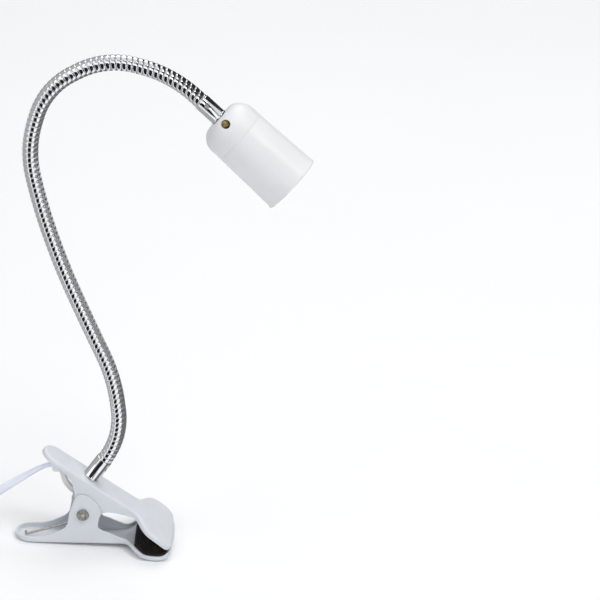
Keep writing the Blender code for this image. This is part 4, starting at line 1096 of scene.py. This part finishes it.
def make_pads():
    """A grip pad inside each jaw, clear of the sheet and drawn in from the walls."""
    clear, widest, margin = SHEET + 0.3, 25.6, 1.8
    upper_xs, lower_xs = (36, 39, 43, 48, 53, 57, 60), (35.6, 39, 43, 47.5, 54, 57)
    for name, curve, side, lift, shift, at, body, node, xs in (
        ("upper_grip_pad", upper_web, -1, -clear, SHIFT, HINGE, LEVER_BODY, "upper_jaw_pad", upper_xs),
        ("lower_grip_pad", lower_web, 1, clear + 0.3, -SHIFT, STAND, CLIP_BODY, "lower_jaw_pad", lower_xs),
    ):
        line = [(x, curve(x) + lift) for x in xs]
        inner = [min(line_between(PAD_PLAN, x - 4), line_between(PAD_PLAN, x + 2)) - margin for x in xs]
        ribbed_pad(name, line, [min(widest, half) for half in inner], shift, at, side, body, node)


make_levers()
make_pads()


# ---- rivet, spring and the neck's fixings
STUD_BORE = 5.2
UNDER_WEB = -1.5


def make_rivet():
    """The hinge rivet, the pin ends in its two domes, made brighter to paint the rivet's highlight, and the
    bush between the walls.
    """
    wall = 12.3
    dome = [(0, 0.7), (1.3, 0.7), (1.5, 0.75), (1.9, 0.8), (2.3, 1.2), (2.7, 1.45), (3.2, 1.5), (3.7, 1.25)]
    dome += [(4.05, 0.7), (4.15, 0.25), (4.05, 0), (2.5, 0)]
    half = [(r, wall + z) for r, z in dome]
    half += [(r, -z) for r, z in reversed(half)]
    belongs(lathe("hinge_rivet", half, PIN, "dark_steel", 48), CLIP_BODY, "steel", "clip_rivet")
    end = [(0, 0.3), (0.25, 0.35), (0.5, 1.35), (0.7, 1.5), (0.95, 1.45)]
    end += [(1.3, 0.95), (1.4, 0.4), (1.2, 0.2), (0, 0.1)]
    for side, name in ((1, "front"), (-1, "back")):
        line = [(r, side * (wall + z)) for r, z in end]
        # painted highlight: the pin ends' brighter steel stands in for the glint of light on the rivet
        belongs(lathe("rivet_pin_" + name, line, PIN, "bright_steel", 32), CLIP_BODY, "steel")
    line = [(2.8, -8.7), (3, -9), (3.4, -9), (3.6, -8.8), (3.6, 8.8), (3.4, 9), (3, 9), (2.8, 8.7)]
    belongs(lathe("spacer_bush", line, PIN, "steel", 40, closed=True), CLIP_BODY, "steel", "clip_bush")


def make_spring():
    """The torsion spring: a coil round the pin, with a leg into each lever."""
    turns, pitch, radius, wire, first, steps = 6.375, 2.1, 4.9, 0.85, radians(-100), 24
    end_y = pitch * turns / 2
    coil = []
    for i in range(int(turns * steps) + 1):
        a = first - FULL_TURN * i / steps
        coil.append(spot(HINGE, radius * cos(a), pitch * i / steps - end_y, radius * sin(a)))
    down = [(-38.6, -4.5, 5), (-37.9, -4.6, 3.3), (-36.5, -4.7, 3.4), (-12, -6.4, 13.6)]
    down = [spot(STAND, *p) for p in down]
    up = [spot(HINGE, *p) for p in ((-4, end_y, 7.6), (-15, end_y, 16.2), (-24, end_y, 18.6))]
    lower_leg = catmull([*down, coil[0]], 8)[:-1]
    upper_leg = catmull([coil[-1], *up], 8)[1:]
    line = lower_leg + coil + upper_leg
    spring = sweep("torsion_spring", line, circle(wire, 12), "spring_wire", (0.1, 1, 0.1))
    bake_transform(spring)
    finish_as(spring, "steel", "clip_spring")


def make_fixings():
    """The washer and nut that hold the neck's stud under the web."""
    z, r = UNDER_WEB, 8.6
    line = [(STUD_BORE, z), (r - 0.2, z), (r, z - 0.15)]
    line += [(r, z - 0.75), (r - 0.2, z - 0.9), (STUD_BORE, z - 0.9)]
    belongs(lathe("neck_washer", line, FOOT, "steel", 48, closed=True), LEVER_BODY, "steel", "base_washer")
    top = UNDER_WEB - 1.2
    levels = [(top, 0.25), (top - 0.25, 0), (top - 2.75, 0), (top - 3, 0.25)]
    nut = stacked("neck_nut", circle(8, 6), levels, "steel", FOOT)
    carve(nut, [drill(STUD_BORE, -8, 0, FOOT, "steel", 36)])
    belongs(nut, LEVER_BODY, "steel", "base_nut")


def make_strap():
    """A moulded clip under the handle: a block with rounded edges and an eye for the flat cord."""
    x, y, z, half, half_width = -71, -2, 55.2, 2.4, 4.2
    left, right, low = x - half, x + half, z - 3.7

    def under_handle(at):
        return PIVOT_Z + (UPPER_HEIGHT + UNDER_WEB) / cos(SLOPE) - math.tan(SLOPE) * (at - PIVOT_X)

    outline = [(left, low + 1.5), (left + 1.5, low), (right - 0.6, low), (right, low + 0.6)]
    outline += [(right, under_handle(right)), (left, under_handle(left))]
    strap = prism("cord_clip", outline, y - half_width, y + half_width, Matrix.Identity(4), WHITE)
    eye = drill(2.7, -6, 6, moved(x, y, z) @ SIDEWAYS, WHITE, 32)
    bevelled(strap, 0.5, 3, 50, 40)
    carve(strap, [eye])
    belongs(strap, LEVER_BODY, WHITE, "cord_strap")


def make_inner_lead():
    """The lead inside the clip, from the neck's stud to the strap."""
    straight = [spot(FOOT, 0, 0, h) for h in (15.6, 12, 8, 4, 0, -5, -9)]
    route = [(-52.6, 0, 36.6), (-54.9, -0.6, 35.3), (-58.4, -1.4, 36.7), (-61.9, -1.9, 40), (-64.6, -2, 44.2)]
    route += [(-66, -2, 48.8), (-67.6, -2, 53.6)]
    points = resample(catmull([*straight, *(Vector(p) * MM for p in route)], 8), 90)
    slimmer = [(a * 0.72, b * 0.94) for a, b in flat_section()]
    lead = sweep("lead_in_clip", points, slimmer, "cord_ivory", (0, -1, 0))
    belongs(lead, LEVER_BODY, "cord_white", "inner_lead")


make_rivet()
make_spring()
make_fixings()
make_strap()
make_inner_lead()


# ---- CAD nodes that stay
def finish_cad_nodes():
    """Give each CAD node that is still shown its detailed material."""
    slots = {item["node"]: item["material_slot"] for item in frame["record"]["subparts"]}
    for name, node in frame["nodes"].items():
        finish = FINISH[slots[name]]
        if not node.material_slots:
            node.data.materials.append(finish)
        for slot in node.material_slots:
            slot.material = finish


finish_cad_nodes()
